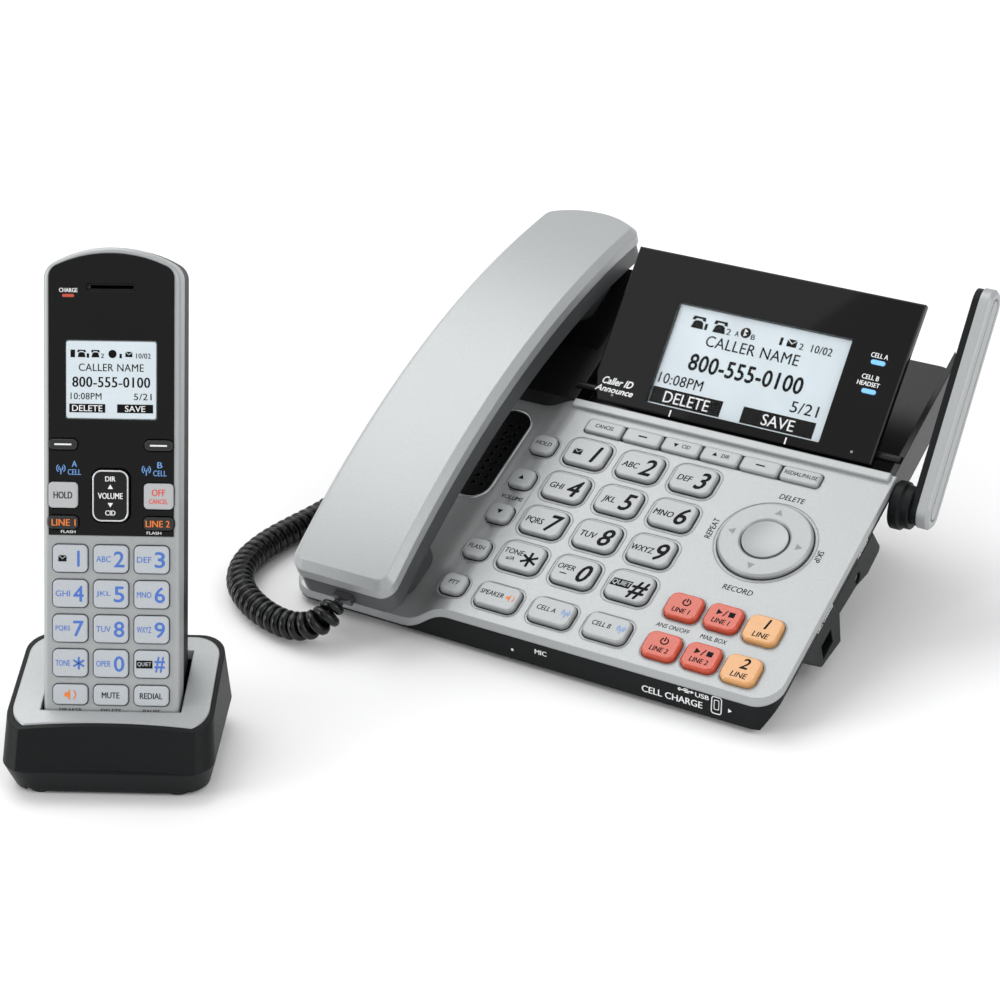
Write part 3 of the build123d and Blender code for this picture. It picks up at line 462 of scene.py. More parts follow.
# ---------------------------------------------------------------- curly cord
CORD_ROUTE = [
    (-49.5, -90.4, 15.2), (-50.3, -95.6, 12.6), (-54.0, -99.4, 9.2), (-61.5, -100.4, 6.4),
    (-73.0, -98.3, 5.4), (-86.0, -92.8, 5.4), (-97.5, -84.0, 5.4), (-104.8, -72.5, 5.4),
    (-107.4, -59.0, 5.4), (-106.8, -45.0, 5.4), (-104.2, -31.0, 5.4), (-101.4, -17.2, 6.0),
    (-98.8, -4.4, 9.8), (-96.4, 6.4, 16.6), (-93.8, 14.2, 24.6), (-91.2, 19.4, 32.6),
    (-88.4, 23.0, 37.8), (-84.6, 24.8, 40.2),
]
COIL_DIAMETER, WIRE_DIAMETER, COIL_PITCH = 10.6, 3.5, 3.85
COIL_STEPS = 16     # points of the wire's line in each turn
TAIL = 5.0          # stretch at each end over which the coil opens out, mm


def route_points():
    """Points read from the smooth line that follows the cord's route."""
    curve = bpy.data.curves.new("cord_route", "CURVE")
    curve.dimensions = "3D"
    spline = curve.splines.new("NURBS")
    spline.points.add(len(CORD_ROUTE) - 1)
    for point, at in zip(spline.points, CORD_ROUTE):
        point.co = (*working(at), 1)
    spline.order_u = 3
    spline.use_endpoint_u = True
    spline.resolution_u = 24
    holder = bpy.data.objects.new("cord_route", curve)
    mesh = bpy.data.meshes.new_from_object(holder)
    points = [vertex.co.copy() for vertex in mesh.vertices]
    bpy.data.meshes.remove(mesh)
    bpy.data.objects.remove(holder)
    bpy.data.curves.remove(curve)
    return points


def along(points):
    """Running length at each point."""
    lengths = [0.0]
    for a, b in zip(points, points[1:]):
        lengths.append(lengths[-1] + (b - a).length)
    return lengths


def helix_points(points):
    """Centre line of the wire, wound round the route, its coil opening out from each end."""
    lengths = along(points)
    total = lengths[-1]
    radius = (COIL_DIAMETER - WIRE_DIAMETER) / 2 * MM
    steps = int(total / (COIL_PITCH * MM) * COIL_STEPS)
    normal = UP.copy()
    wound, index = [], 0
    for i in range(steps + 1):
        s = total * i / steps
        while index < len(points) - 2 and lengths[index + 1] < s:
            index += 1
        tangent = (points[index + 1] - points[index]).normalized()
        span = max(lengths[index + 1] - lengths[index], 1e-9)
        here = points[index].lerp(points[index + 1], (s - lengths[index]) / span)
        normal = (normal - tangent * normal.dot(tangent)).normalized()
        side = tangent.cross(normal)
        ease = min(1.0, min(s, total - s) / (TAIL * MM))
        swell = radius * ease * ease * (3 - 2 * ease)
        turn = 2 * math.pi * s / (COIL_PITCH * MM)
        wound.append(here + (normal * math.cos(turn) + side * math.sin(turn)) * swell)
    return wound


def build_cord():
    """Curly cord: one wire as a round tube along its helix."""
    centre = helix_points(route_points())
    curve = bpy.data.curves.new("curly_cord", "CURVE")
    curve.dimensions = "3D"
    spline = curve.splines.new("NURBS")
    spline.points.add(len(centre) - 1)
    for point, at in zip(spline.points, centre):
        point.co = (*at, 1)
    spline.order_u = 3
    spline.use_endpoint_u = True
    spline.resolution_u = 2
    curve.bevel_depth = WIRE_DIAMETER / 2 * MM
    curve.bevel_resolution = 3
    curve.use_fill_caps = True
    curve.materials.append(CORD_BLACK)
    piece = bpy.data.objects.new("curly_cord", curve)
    bpy.context.scene.collection.objects.link(piece)
    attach(piece, "telephone_base")
    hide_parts("cord_coil")


build_cord()


# ---------------------------------------------------------------- keys: layout in deck coordinates, mm
KEY_TOP, LOW_KEY_TOP, SOFT_KEY_TOP, RING_TOP = 1.7, 2.0, 1.3, 1.9
DIAL_PLACES = [(21.5 * column, -17.45 * row) for row in range(4) for column in range(3)]
SIDE_PLACES = [(-17.4, y) for y in (-1.2, -18.6, -36.1, -53.7, -71.0)]
VOLUME_PLACE = (-17.4, -27.35)
CALL_PLACES = [(x, -71.4) for x in (0.6, 22.1, 43.6)]
ANSWER_PLACES = [(x, y) for x in (64.9, 79.8) for y in (-54.6, -72.4)]
LINE_PLACES = [(94.7, y) for y in (-55.1, -72.9)]
SOFT_PLACES = [(0.5 + 15.65 * i, 13.4) for i in range(6)]
NAVIGATION = (79.0, -18.2)
DIAL_TEXT = {
    "1": "", "2": "ABC", "3": "DEF", "4": "GHI", "5": "JKL", "6": "MNO", "7": "PQRS",
    "8": "TUV", "9": "WXYZ", "star": "TONE", "0": "OPER", "hash": "QUIET",
}
DECK_STYLE = {"bold": 0.03, "slant": 0.12, "width": 0.86}
FINE_STYLE = {"bold": 0.02, "slant": 0.1, "width": 0.82}


def envelope(piece, x, y, size, matrix, z):
    """Message symbol: a closed letter."""
    body = [(-1.0, -0.72), (1.0, -0.72), (1.0, 0.62), (0.0, -0.2), (-1.0, 0.62)]
    piece.outline(scaled(body, x, y, size), matrix, z)
    flap = [(-0.86, 0.78), (0.0, 0.06), (0.86, 0.78)]
    piece.outline(scaled(flap, x, y, size), matrix, z)


def antenna(piece, x, y, size, matrix, z):
    """Cell symbol: a mast with waves on each side."""
    bar(piece, x, y - size * 0.35, size * 0.22, size * 1.3, matrix, z)
    for side in (-1, 1):
        for reach in (0.55, 1.0):
            outer, inner = reach * size, (reach - 0.2) * size
            piece.outline(arc_band(x, y + 0.3 * size, outer, inner, -54, 54, 6, side), matrix, z)


def loudspeaker(piece, x, y, size, matrix, z):
    """Speaker symbol with a wave."""
    cone = [(-1, -0.35), (-0.5, -0.35), (0, -1), (0, 1), (-0.5, 0.35), (-1, 0.35)]
    piece.outline(scaled(cone, x, y, size), matrix, z)
    piece.outline(arc_band(x + 0.1 * size, y, size, 0.8 * size, -56, 56, 8), matrix, z)


def power_symbol(piece, x, y, size, matrix, z):
    """Open ring with a bar."""
    piece.outline(arc_band(x, y, size, 0.7 * size, 120, 420, 18), matrix, z)
    bar(piece, x, y + 0.55 * size, 0.3 * size, 1.1 * size, matrix, z)


def phone_symbol(piece, x, y, size, matrix, z):
    """Small desk telephone: receiver over a body."""
    body = [(-1.0, -0.9), (1.0, -0.9), (0.75, 0.1), (0.35, 0.35), (-0.35, 0.35), (-0.75, 0.1)]
    piece.outline(scaled(body, x, y, size), matrix, z)
    receiver = [
        (-1.1, 0.35), (-0.6, 0.35), (-0.5, 0.65), (0.5, 0.65),
        (0.6, 0.35), (1.1, 0.35), (0.95, 0.95), (-0.95, 0.95),
    ]
    piece.outline(scaled(receiver, x, y, size), matrix, z)


def dial_legends():
    """Digit and letters on each of the twelve dial keys."""
    z = KEY_TOP + PRINT
    small = {"slant": 0.15, "width": 0.85}
    for (name, letters), (x, y) in zip(DIAL_TEXT.items(), DIAL_PLACES):
        node = "key_" + name
        piece = Piece(f"legend_{name}", node, INK, "silver_key")
        if name == "star":
            asterisk(piece, x + 3.6, y - 0.7, 6.6, 0.95, DECK, z)
        else:
            digit = "#" if name == "hash" else name
            write(piece, digit, x + 3.2, y - 0.7, z, 11.0, DECK, bold=0.2, slant=0.22, width=0.86)
        if name == "1":
            envelope(piece, x - 3.4, y - 0.8, 1.7, DECK, z)
        elif name == "hash":
            bar(piece, x - 3.2, y + 0.2, 7.4, 3.3, DECK, z, 0.2)
        elif name == "star":
            write(piece, letters, x - 3.4, y + 1.0, z, 3.3, DECK, bold=0.04, **small)
            write(piece, "a/A", x - 3.4, y - 2.1, z, 2.4, DECK, bold=0.03, slant=0.15)
        elif name == "0":
            write(piece, letters, x - 3.6, y + 0.6, z, 3.3, DECK, bold=0.04, **small)
            bar(piece, x - 3.6, y - 2.2, 2.6, 0.4, DECK, z)
        else:
            width = 0.85 if len(letters) == 3 else 0.74
            write(piece, letters, x - 3.3, y - 0.8, z, 3.8, DECK, bold=0.06, slant=0.15, width=width)
        piece.done()
        if name == "hash":
            pale = Piece("legend_hash_inverse", node, KEY, "silver_key")
            write(pale, letters, x - 3.2, y + 0.2, z + FILM, 2.9, DECK, bold=0.05, **small)
            pale.done()


def side_key_legends():
    """Printing on the keys beside the handset, and on the row of call keys."""
    z = LOW_KEY_TOP + PRINT
    side = Piece("legend_side_keys", "side_keys", INK, "silver_key")
    hold, up, down, flash, talk = SIDE_PLACES
    for text, (x, y) in (("HOLD", hold), ("FLASH", flash), ("PTT", talk)):
        write(side, text, x, y, z, 2.7, DECK, bold=0.03, slant=0.12, width=0.85)
    triangle(side, up[0], up[1] - 0.3, 1.25, 90, DECK, z)
    triangle(side, down[0], down[1] + 0.3, 1.25, 270, DECK, z)
    side.done()
    call = Piece("legend_call_keys", "call_keys", INK, "silver_key")
    middle = CALL_PLACES[0][1] + 0.2
    for text, shift, (x, _) in zip(("SPEAKER", "CELL A", "CELL B"), (-2.3, -2.2, -2.2), CALL_PLACES):
        write(call, text, x + shift, middle, z, 2.9, DECK, bold=0.03, slant=0.12, width=0.82)
    call.done()
    spot = Piece("symbol_speaker_key", "call_keys", ORANGE_INK, "silver_key")
    loudspeaker(spot, CALL_PLACES[0][0] + 5.0, middle, 1.5, DECK, z)
    spot.done()
    cell = Piece("symbol_cell_keys", "call_keys", PALE_BLUE, "silver_key")
    for x, _ in CALL_PLACES[1:]:
        antenna(cell, x + 5.3, middle, 1.6, DECK, z)
    cell.done()


def line_key_legends():
    """Printing on the red answering keys and the amber line keys."""
    z = LOW_KEY_TOP + PRINT
    answer = Piece("legend_answer_keys", "answer_keys", INK, "red_key")
    power_1, power_2, play_1, play_2 = ANSWER_PLACES
    for text, power, play in (("LINE 1", power_1, play_1), ("LINE 2", power_2, play_2)):
        for x, y in (power, play):
            write(answer, text, x, y - 2.3, z, 2.9, DECK, bold=0.06, slant=0.12, width=0.85)
        power_symbol(answer, power[0] + 0.5, power[1] + 1.6, 1.55, DECK, z)
        x, y = play[0], play[1] + 1.4
        triangle(answer, x - 2.2, y, 1.35, 0, DECK, z)
        bar(answer, x + 0.2, y, 0.4, 2.6, DECK, z, 0.4)
        bar(answer, x + 2.6, y, 2.1, 2.1, DECK, z)
    answer.done()
    lines = Piece("legend_line_keys", "line_keys", INK, "amber_key")
    for digit, (x, y) in zip("12", LINE_PLACES):
        write(lines, digit, x + 0.5, y + 1.9, z, 6.2, DECK, bold=0.1, slant=0.18)
        write(lines, "LINE", x + 0.2, y - 2.9, z, 3.2, DECK, bold=0.05, slant=0.12, width=0.9)
    lines.done()


def top_key_legends():
    """Printing on the row of soft keys under the display, and on the navigation ring."""
    z = SOFT_KEY_TOP + PRINT
    soft = Piece("legend_soft_keys", "soft_keys", INK, "silver_key")
    cancel, dash_1, caller, directory, dash_2, redial = SOFT_PLACES
    for text, (x, y), shift in (
        ("CANCEL", cancel, 0.0), ("CID", caller, 1.8),
        ("DIR", directory, 1.8), ("REDIAL/PAUSE", redial, 0.0),
    ):
        write(soft, text, x + shift, y, z, 2.5, DECK, bold=0.02, slant=0.1, width=0.8)
    triangle(soft, caller[0] - 2.2, caller[1] + 0.1, 1.1, 270, DECK, z)
    triangle(soft, directory[0] - 2.2, directory[1] - 0.1, 1.1, 90, DECK, z)
    for x, y in (dash_1, dash_2):
        bar(soft, x, y, 3.4, 0.55, DECK, z)
    soft.done()
    arrows = Piece("navigation_arrows", "navigation_ring", GREY_INK, "silver_key")
    for turn in (0, 90, 180, 270):
        triangle(arrows, *polar(*NAVIGATION, 12.4, turn), 1.55, turn, DECK, RING_TOP + PRINT)
    arrows.done()


# ---------------------------------------------------------------- print on the base
def surrounds(piece, places, width, height, corner, radius=0.2):
    """A bead of one size round each of several keys."""
    for x, y in places:
        ring_loop(piece, rounded_outline(x, y, width, height, corner), DECK, 0.0, radius)


def deck_print():
    """Lettering, key surrounds and bright lines on the deck shell."""
    text = Piece("deck_lettering", "telephone_base", INK, "silver_plastic")
    for label, x, y, turn in (
        ("DELETE", 79.6, 3.0, 0), ("RECORD", 78.6, -41.0, 0),
        ("REPEAT", 58.6, -18.2, 90), ("SKIP", 99.0, -18.4, -90),
    ):
        write(text, label, x, y, PRINT, 3.3, DECK, turn=turn, **DECK_STYLE)
    write(text, "VOLUME", -17.4, -27.4, PRINT, 2.7, DECK, bold=0.03, slant=0.12, width=0.84)
    write(text, "ANS ON/OFF", 64.6, -63.4, PRINT, 2.6, DECK, **FINE_STYLE)
    write(text, "MAIL BOX", 79.8, -63.4, PRINT, 2.6, DECK, **FINE_STYLE)
    text.done()
    beads = Piece("key_surrounds", "telephone_base", SILVER, "silver_plastic")
    hold, _, _, flash, talk = SIDE_PLACES
    surrounds(beads, DIAL_PLACES, 19.2, 15.4, 4.7)
    surrounds(beads, (hold, flash, talk), 11.6, 11.0, 4.0)
    surrounds(beads, (VOLUME_PLACE,), 11.6, 28.4, 4.0)
    surrounds(beads, CALL_PLACES, 18.7, 12.9, 4.1)
    surrounds(beads, ANSWER_PLACES, 14.3, 12.3, 3.8, 0.18)
    surrounds(beads, LINE_PLACES, 14.3, 12.9, 3.8, 0.18)
    ring_loop(beads, circle(*NAVIGATION, 18.3), DECK, 0.0, 0.22)
    beads.done(smooth=True)
    # Deep black beads in the gaps round the keys: painted shade.
    gaps = Piece("key_gap_shadows", "telephone_base", DEEP, "dark_part")
    surrounds(gaps, DIAL_PLACES, 16.9, 13.1, 3.6)
    surrounds(gaps, SIDE_PLACES, 9.9, 9.3, 3.0)
    surrounds(gaps, CALL_PLACES, 16.9, 11.1, 3.3)
    ring_loop(gaps, circle(*NAVIGATION, 17.05), DECK, 0.0, 0.2)
    gaps.done(smooth=True)
    rim = Piece("speaker_rim", "telephone_base", BRIGHT, "silver_plastic")
    ring_loop(rim, rounded_outline(-40.0, -4.0, 16.4, 45.4, 7.6, 10), DECK, -7.4, 0.55)
    rim.done(smooth=True)


def front_print():
    """White lettering and symbols on the black front of the base."""
    text = Piece("front_lettering", "telephone_base", WHITE_INK, "black_plastic")
    write(text, "MIC", 22.4, 7.6, PRINT, (4.6, 1.8), FRONT, bold=0.06)
    text.outline(circle(11.2, 5.6, 0.5, 20), FRONT, PRINT)
    write(text, "CELL CHARGE", 72.9, 5.6, PRINT, (22.6, 2.5), FRONT, bold=0.06)
    write(text, "USB", 84.0, 9.1, PRINT, (5.0, 1.7), FRONT, bold=0.05)
    bar(text, 77.8, 9.5, 4.6, 0.4, FRONT, PRINT)
    triangle(text, 80.3, 9.5, 0.7, 0, FRONT, PRINT)
    text.outline(circle(75.6, 9.5, 0.6, 16), FRONT, PRINT)
    bar(text, 77.9, 10.1, 1.6, 0.35, FRONT, PRINT, 1.0)
    bar(text, 78.3, 8.9, 1.6, 0.35, FRONT, PRINT, -1.0)
    triangle(text, 94.2, 6.6, 0.9, 0, FRONT, PRINT)
    ring_loop(text, rounded_outline(89.4, 7.2, 3.6, 6.4, 0.9), FRONT, 0.0, 0.2)
    ring_loop(text, rounded_outline(89.4, 7.4, 1.7, 3.6, 0.3), FRONT, 0.0, 0.14)
    text.done()


def port_print():
    """White marks beside the sockets in the right-hand side."""
    axes = DECK.to_3x3().normalized()
    origin = Vector((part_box("base_shell")[1].x, DECK.translation.y, DECK.translation.z))
    side = place(origin, axes.col[1], axes.col[2], Vector((1, 0, 0)))
    marks = Piece("socket_marks", "telephone_base", WHITE_INK, "black_plastic")
    write(marks, "HEADSET", -6.0, -5.6, PRINT, (9.0, 1.3), side, bold=0.02)
    write(marks, "CELL CHARGE", -39.0, -5.6, PRINT, (13.0, 1.3), side, bold=0.02)
    marks.done()


SCREEN_SINK = -1.6      # the screen, from the display's face, mm


def screen_print():
    """Characters of the base's display and lettering on its glossy face."""
    glass = SCREEN_SINK + PRINT
    digits = Piece("display_characters", "display", INK, "screen")
    for text, x, y, size, weight in (
        ("CALLER NAME", 43.4, 31.6, (37.0, 4.3), 0.04), ("800-555-0100", 43.8, 22.6, (45.0, 6.3), 0.18),
        ("10:08PM", 20.6, 14.3, (17.6, 4.1), 0.05), ("5/21", 69.8, 14.6, (10.6, 4.3), 0.05),
        ("1", 23.0, 36.6, (1.0, 2.4), 0.05), ("2", 32.2, 36.6, (1.7, 2.4), 0.05),
        ("A", 35.6, 36.6, (1.5, 2.0), 0.05), ("B", 42.0, 36.6, (1.5, 2.0), 0.05),
        ("1", 53.0, 37.4, (1.0, 3.0), 0.05), ("2", 61.0, 37.0, (1.6, 2.4), 0.05),
        ("10/02", 69.0, 37.2, (8.0, 3.0), 0.05),
    ):
        write(digits, text, x, y, glass, size, PANEL, bold=weight, spacing=1.06)
    for x in (19.6, 28.4):
        phone_symbol(digits, x, 37.6, 2.5, PANEL, glass)
    digits.outline(circle(38.8, 37.6, 2.0, 24), PANEL, glass)
    envelope(digits, 57.2, 37.4, 1.9, PANEL, glass)
    bar(digits, 25.0, 7.5, 28.4, 6.2, PANEL, glass)
    bar(digits, 61.6, 7.5, 28.4, 6.2, PANEL, glass)
    digits.done()
    pale = Piece("display_soft_labels", "display", WHITE_INK, "screen")
    write(pale, "DELETE", 25.2, 7.5, glass + FILM, (18.2, 4.3), PANEL, bold=0.03)
    write(pale, "SAVE", 61.8, 7.5, glass + FILM, (12.6, 4.3), PANEL, bold=0.03)
    bar(pale, 38.4, 37.6, 0.5, 2.6, PANEL, glass + FILM)
    triangle(pale, 38.7, 38.3, 0.9, 0, PANEL, glass + FILM)
    triangle(pale, 38.7, 36.9, 0.9, 0, PANEL, glass + FILM)
    pale.done()
    text = Piece("display_lettering", "display", WHITE_INK, "gloss_black")
    write(text, "Caller ID", -2.6, 8.2, PRINT, (12.4, 2.7), PANEL, bold=0.1, slant=0.3)
    write(text, "Announce", -3.0, 5.0, PRINT, (15.4, 2.3), PANEL, bold=0.1, slant=0.3)
    write(text, "CELL A", 91.0, 39.4, PRINT, (6.4, 1.8), PANEL, bold=0.05)
    write(text, "CELL B", 90.2, 31.0, PRINT, (6.4, 1.8), PANEL, bold=0.05)
    write(text, "HEADSET", 90.2, 28.5, PRINT, (8.4, 1.7), PANEL, bold=0.05)
    for x in (21.3, 67.3):
        bar(text, x, 1.35, 0.55, 2.5, PANEL, PRINT)
    text.done()
    dots = Piece("display_dots", "display", GREY_INK, "gloss_black")
    for x, y in ((-3.2, 3.0), (92.2, 3.0)):
        dots.outline(circle(x, y, 0.5, 20), PANEL, PRINT)
    dots.done()


# ---------------------------------------------------------------- print on the cordless handset
NUMBER_COLUMNS = (-13.0, 0.0, 13.0)
NUMBER_ROWS = (59.0, 47.8, 36.6, 25.5, 15.35)       # up its length, mm
NUMBER_PLACES = [(x, y) for y in NUMBER_ROWS for x in NUMBER_COLUMNS]
FACE_PRINT, GLASS_PRINT = 0.2 + PRINT, 0.1 + PRINT  # above its front, mm
NUMBER_PRINT, PAD_PRINT, ROCKER_TOP = 0.9 + PRINT, 1.0 + PRINT, 1.5
ROCKER_PLACE = (0, 79.2)
STATUS_LINE = 124.0                                 # of the small symbols on its screen


def cordless_face_print():
    """Printing on the glossy face and on the function keys."""
    body, keys = "cordless_handset", "cordless_function_keys"
    white = Piece("cordless_lettering", body, WHITE_INK, "gloss_black")
    write(white, "CHARGE", -13.6, 143.9, FACE_PRINT, (5.8, 1.3), CORDLESS, bold=0.04)
    for x in (-13.677, 13.677):
        write(white, "FLASH", x, 67.5, FACE_PRINT, (4.6, 0.9), CORDLESS, bold=0.02)
    white.done()
    dashes = Piece("cordless_soft_key_dashes", keys, WHITE_INK, "silver_key")
    for x in (-15.2, 15.2):
        bar(dashes, x, 95.3, 5.4, 0.5, CORDLESS, PAD_PRINT)
    dashes.done()
    lines = Piece("cordless_line_lettering", keys, ORANGE_INK, "silver_key")
    for text, x in (("LINE 1", -15.0), ("LINE 2", 15.0)):
        write(lines, text, x, 70.5, PAD_PRINT, (7.6, 2.1), CORDLESS, bold=0.05)
    lines.done()
    led = Piece("charge_lamp", body, RED, "lamp")
    led.outline(rounded_outline(-13.6, 142.2, 3.8, 1.0, 0.45), CORDLESS, 0.2, 0.15)
    led.done()
    cell = Piece("cordless_cell_marks", body, PALE_BLUE, "gloss_black")
    for x, letter in ((-16.0, "A"), (11.2, "B")):
        antenna(cell, x, 87.2, 1.5, CORDLESS, FACE_PRINT)
        write(cell, letter, x + 4.3, 89.1, FACE_PRINT, (1.6, 1.9), CORDLESS, bold=0.04)
        write(cell, "CELL", x + 4.3, 86.5, FACE_PRINT, (4.2, 1.8), CORDLESS, bold=0.03)
    cell.done()
    hold = Piece("cordless_hold_lettering", keys, INK, "silver_key")
    write(hold, "HOLD", -15.2, 79.2, PAD_PRINT, (5.9, 2.2), CORDLESS, bold=0.05)
    hold.done()
    off = Piece("cordless_off_lettering", keys, RED_INK, "silver_key")
    write(off, "OFF", 15.2, 80.4, PAD_PRINT, (4.2, 2.1), CORDLESS, bold=0.05)
    write(off, "CANCEL", 15.2, 77.6, PAD_PRINT, (5.9, 1.5), CORDLESS, bold=0.03)
    off.done()


def cordless_rocker_print():
    """Printing on the rocker, its bright rim, and the dark bezel of the earpiece."""
    rocker = Piece("cordless_rocker_lettering", "cordless_rocker", WHITE_INK, "gloss_black")
    x, y = ROCKER_PLACE
    top = ROCKER_TOP + PRINT
    for text, rise, size in (("DIR", 5.4, (3.2, 1.6)), ("VOLUME", 0, (7.8, 1.9)), ("CID", -5.4, (3.2, 1.6))):
        write(rocker, text, x, y + rise, top, size, CORDLESS, bold=0.04)
    triangle(rocker, x, y + 2.7, 0.95, 90, CORDLESS, top)
    triangle(rocker, x, y - 2.7, 0.95, 270, CORDLESS, top)
    rocker.done()
    slot = Piece("earpiece_bezel", "cordless_handset", GLOSS, "gloss_black")
    ring_loop(slot, rounded_outline(0, 145.0, 15.1, 1.9, 0.94), CORDLESS, -0.42, 0.5)
    slot.done(smooth=True)
    rim = Piece("cordless_rocker_rim", "cordless_rocker", BRIGHT, "gloss_black")
    ring_loop(rim, rounded_outline(x, y, 11.0, 15.8, 2.6), CORDLESS, ROCKER_TOP - 0.08, 0.28)
    rim.done(smooth=True)


def cordless_number_print():
    """Printing on the fifteen keys of its keypad, and on the shell below them."""
    keys = "cordless_number_keys"
    digits = Piece("cordless_digits", keys, BLUE_INK, "silver_key")
    letters = Piece("cordless_letters", keys, BLUE_INK, "silver_key")
    dark = Piece("cordless_key_lettering", keys, INK, "silver_key")
    for (name, text), (x, y) in zip(DIAL_TEXT.items(), NUMBER_PLACES):
        if name == "star":
            asterisk(digits, x + 2.8, y, 4.0, 0.6, CORDLESS, NUMBER_PRINT)
        else:
            digit = "#" if name == "hash" else name
            width = 0.6 if name == "1" else 3.2
            write(digits, digit, x + 2.7, y, NUMBER_PRINT, (width, 4.9), CORDLESS, bold=0.1)
        if name == "1":
            envelope(dark, x - 2.4, y, 1.3, CORDLESS, NUMBER_PRINT)
        elif name == "hash":
            bar(dark, x - 2.2, y, 5.2, 2.5, CORDLESS, NUMBER_PRINT)
            inverse = Piece("cordless_quiet_lettering", keys, PALE_KEY, "silver_key")
            write(inverse, text, x - 2.2, y, NUMBER_PRINT + FILM, (4.4, 1.5), CORDLESS, bold=0.02)
            inverse.done()
        else:
            write(letters, text, x - 2.3, y, NUMBER_PRINT, (4.6, 1.9), CORDLESS, bold=0.02)
    speaker_key, mute_key, redial_key = NUMBER_PLACES[-3:]
    write(dark, "MUTE", *mute_key, NUMBER_PRINT, (5.6, 1.9), CORDLESS, bold=0.04)
    write(dark, "REDIAL", *redial_key, NUMBER_PRINT, (7.2, 1.9), CORDLESS, bold=0.04)
    digits.done()
    letters.done()
    dark.done()
    speaker = Piece("cordless_speaker_symbol", keys, ORANGE_INK, "silver_key")
    loudspeaker(speaker, *speaker_key, 1.8, CORDLESS, NUMBER_PRINT)
    speaker.done()
    labels = Piece("cordless_foot_lettering", "cordless_handset", INK, "silver_plastic")
    for text, x, width in zip(("SPEAKER", "DELETE", "PAUSE"), NUMBER_COLUMNS, (7.4, 6.4, 5.4)):
        write(labels, text, x, 10.2, PRINT, (width, 1.3), CORDLESS, bold=0.03)
    labels.done()


def cordless_screen_print():
    """Its lit screen and the characters on it."""
    body = "cordless_handset"
    screen = Piece("cordless_screen", body, SCREEN, "screen")
    screen.outline(rounded_outline(0, 115.8, 28.6, 24.4, 0.8), CORDLESS, 0.0, 0.115)
    screen.done()
    rows = Piece("cordless_characters", body, INK, "screen")
    for text, x, y, size, weight in (
        ("CALLER NAME", 0.0, 119.7, (20.6, 2.4), 0.02), ("800-555-0100", 0.0, 115.1, (24.6, 3.3), 0.09),
        ("10:08PM", -8.0, 110.6, (9.8, 2.1), 0.02), ("5/21", 10.0, 110.6, (5.6, 2.1), 0.02),
        ("1", -7.4, 123.4, (0.7, 1.4), 0.03), ("2", -2.8, 123.4, (1.0, 1.4), 0.03),
        ("1", 3.0, 123.4, (0.7, 1.4), 0.03), ("10/02", 10.2, 123.5, (4.6, 1.6), 0.03),
    ):
        write(rows, text, x, y, GLASS_PRINT, size, CORDLESS, bold=weight, spacing=1.06)
    bar(rows, -12.2, STATUS_LINE, 1.4, 2.4, CORDLESS, GLASS_PRINT)
    for x in (-9.4, -5.0):
        phone_symbol(rows, x, STATUS_LINE, 1.25, CORDLESS, GLASS_PRINT)
    rows.outline(circle(0.4, STATUS_LINE, 1.3, 20), CORDLESS, GLASS_PRINT)
    envelope(rows, 5.6, STATUS_LINE - 0.1, 1.1, CORDLESS, GLASS_PRINT)
    soft_labels = (("DELETE", -7.6, 9.6), ("SAVE", 7.6, 6.4))
    for _, x, _ in soft_labels:
        bar(rows, x, 106.8, 11.4, 2.7, CORDLESS, GLASS_PRINT)
    rows.done()
    inverse = Piece("cordless_soft_labels", body, WHITE_INK, "screen")
    for text, x, width in soft_labels:
        write(inverse, text, x, 106.8, GLASS_PRINT + FILM, (width, 1.9), CORDLESS, bold=0.02)
    inverse.done()


dial_legends()
side_key_legends()
line_key_legends()
top_key_legends()
deck_print()
front_print()
port_print()
screen_print()
cordless_face_print()
cordless_rocker_print()
cordless_number_print()
cordless_screen_print()


# ---------------------------------------------------------------- stage and light
SHEEN_EDGE = ((26, 0, 0), (77, 61.5, 0))    # line across the display's face where the sheen ends, mm
SHEEN_DISTANCE = 0.9                        # of the card from the face, m
SHEEN_WIDTH, SHEEN_HEIGHT = 0.36, 0.5


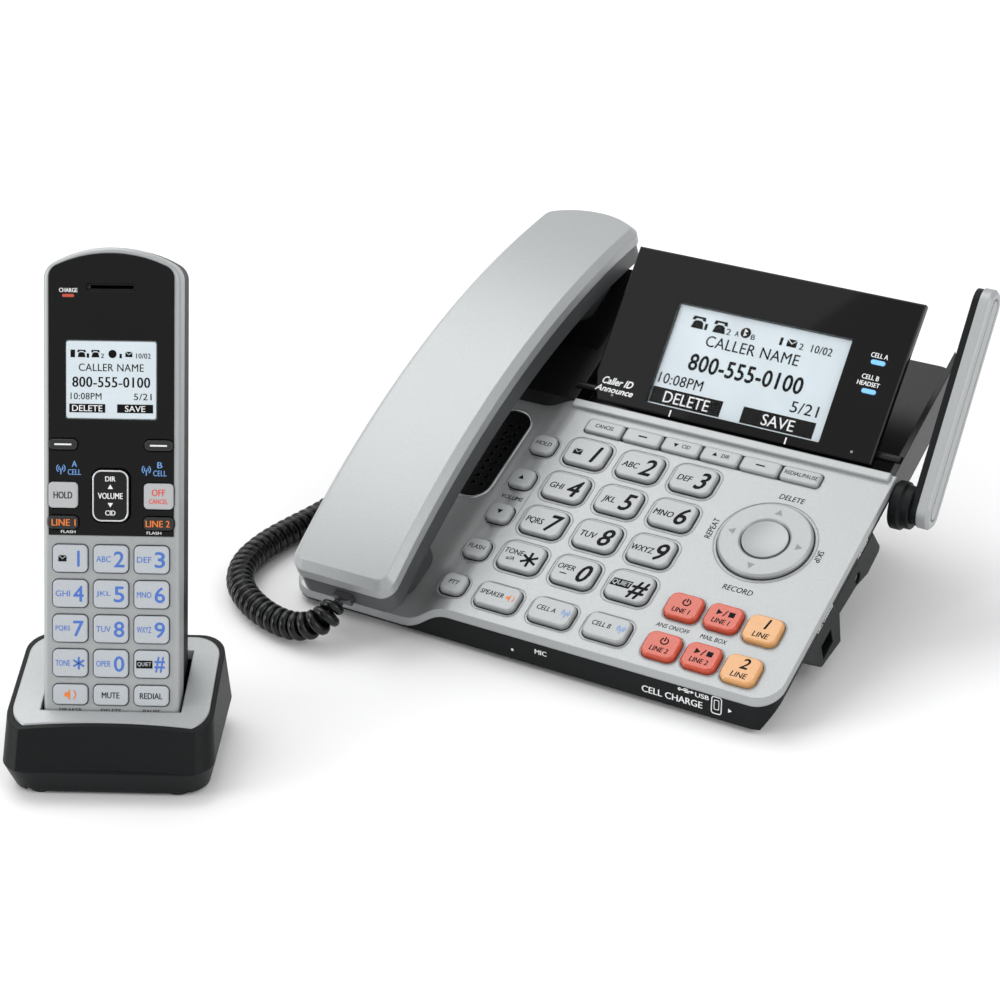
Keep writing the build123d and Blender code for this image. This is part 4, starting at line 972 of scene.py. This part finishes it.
def build_sheen_card():
    """Dim card whose straight edge is mirrored across the display's glossy face."""
    normal = (PANEL.to_3x3() @ UP).normalized()
    eye = working(CAMERA_AT)
    mirrored = eye - normal * (2 * (eye - PANEL.translation).dot(normal))
    ends = []
    for edge_point in SHEEN_EDGE:
        through = PANEL @ Vector(edge_point)
        ends.append(through + (through - mirrored).normalized() * SHEEN_DISTANCE)
    middle = (ends[0] + ends[1]) / 2
    facing = (middle - mirrored).normalized()
    aside = (ends[1] - ends[0]).cross(facing).normalized()
    if aside.x > 0:
        aside = -aside
    data = bpy.data.lights.new("sheen_card", "AREA")
    data.shape = "RECTANGLE"
    data.size, data.size_y = SHEEN_WIDTH, SHEEN_HEIGHT
    data.energy = 0.35
    card = bpy.data.objects.new("sheen_card", data)
    axes = Matrix((aside, facing.cross(aside), facing)).transposed().to_4x4()
    card.matrix_world = Matrix.Translation(middle + aside * SHEEN_WIDTH / 2) @ axes
    bpy.context.scene.collection.objects.link(card)


def build_floor():
    """Large pale sheet under the object."""
    mesh = bpy.data.meshes.new("floor")
    reach = 6.0
    corners = [(-reach, -reach, 0), (reach, -reach, 0), (reach, reach, 0), (-reach, reach, 0)]
    mesh.from_pydata(corners, [], [(0, 1, 2, 3)])
    paper = Shader("floor_paper", (0.92, 0.92, 0.925), 0.6)
    paper.vary_color(paper.noise(3.0), 0.006)
    mesh.materials.append(paper.material)
    floor = bpy.data.objects.new("floor", mesh)
    bpy.context.scene.collection.objects.link(floor)


def build_lights():
    """Even white surroundings and three soft studio lamps, aimed at the object's middle."""
    world = bpy.data.worlds.new("studio")
    world.use_nodes = True
    surroundings = world.node_tree.nodes["Background"]
    surroundings.inputs["Color"].default_value = (1, 1, 1, 1)
    surroundings.inputs["Strength"].default_value = 0.8
    bpy.context.scene.world = world
    for name, position, size, power in (
        ("key_light", (-0.9, 0.35, 1.6), 1.3, 12.0),
        ("fill_light", (1.5, -0.2, 1.0), 1.0, 6.0),
        ("front_light", (-1.5, -1.6, 0.8), 0.9, 14.0),
    ):
        data = bpy.data.lights.new(name, "AREA")
        data.size, data.energy = size, power
        lamp = bpy.data.objects.new(name, data)
        lamp.location = position
        aim = Vector((0, 0, 0.04)) - lamp.location
        lamp.rotation_euler = aim.to_track_quat("-Z", "Y").to_euler()
        bpy.context.scene.collection.objects.link(lamp)


build_floor()
build_lights()
build_sheen_card()
bpy.context.scene.view_settings.view_transform = "Standard"
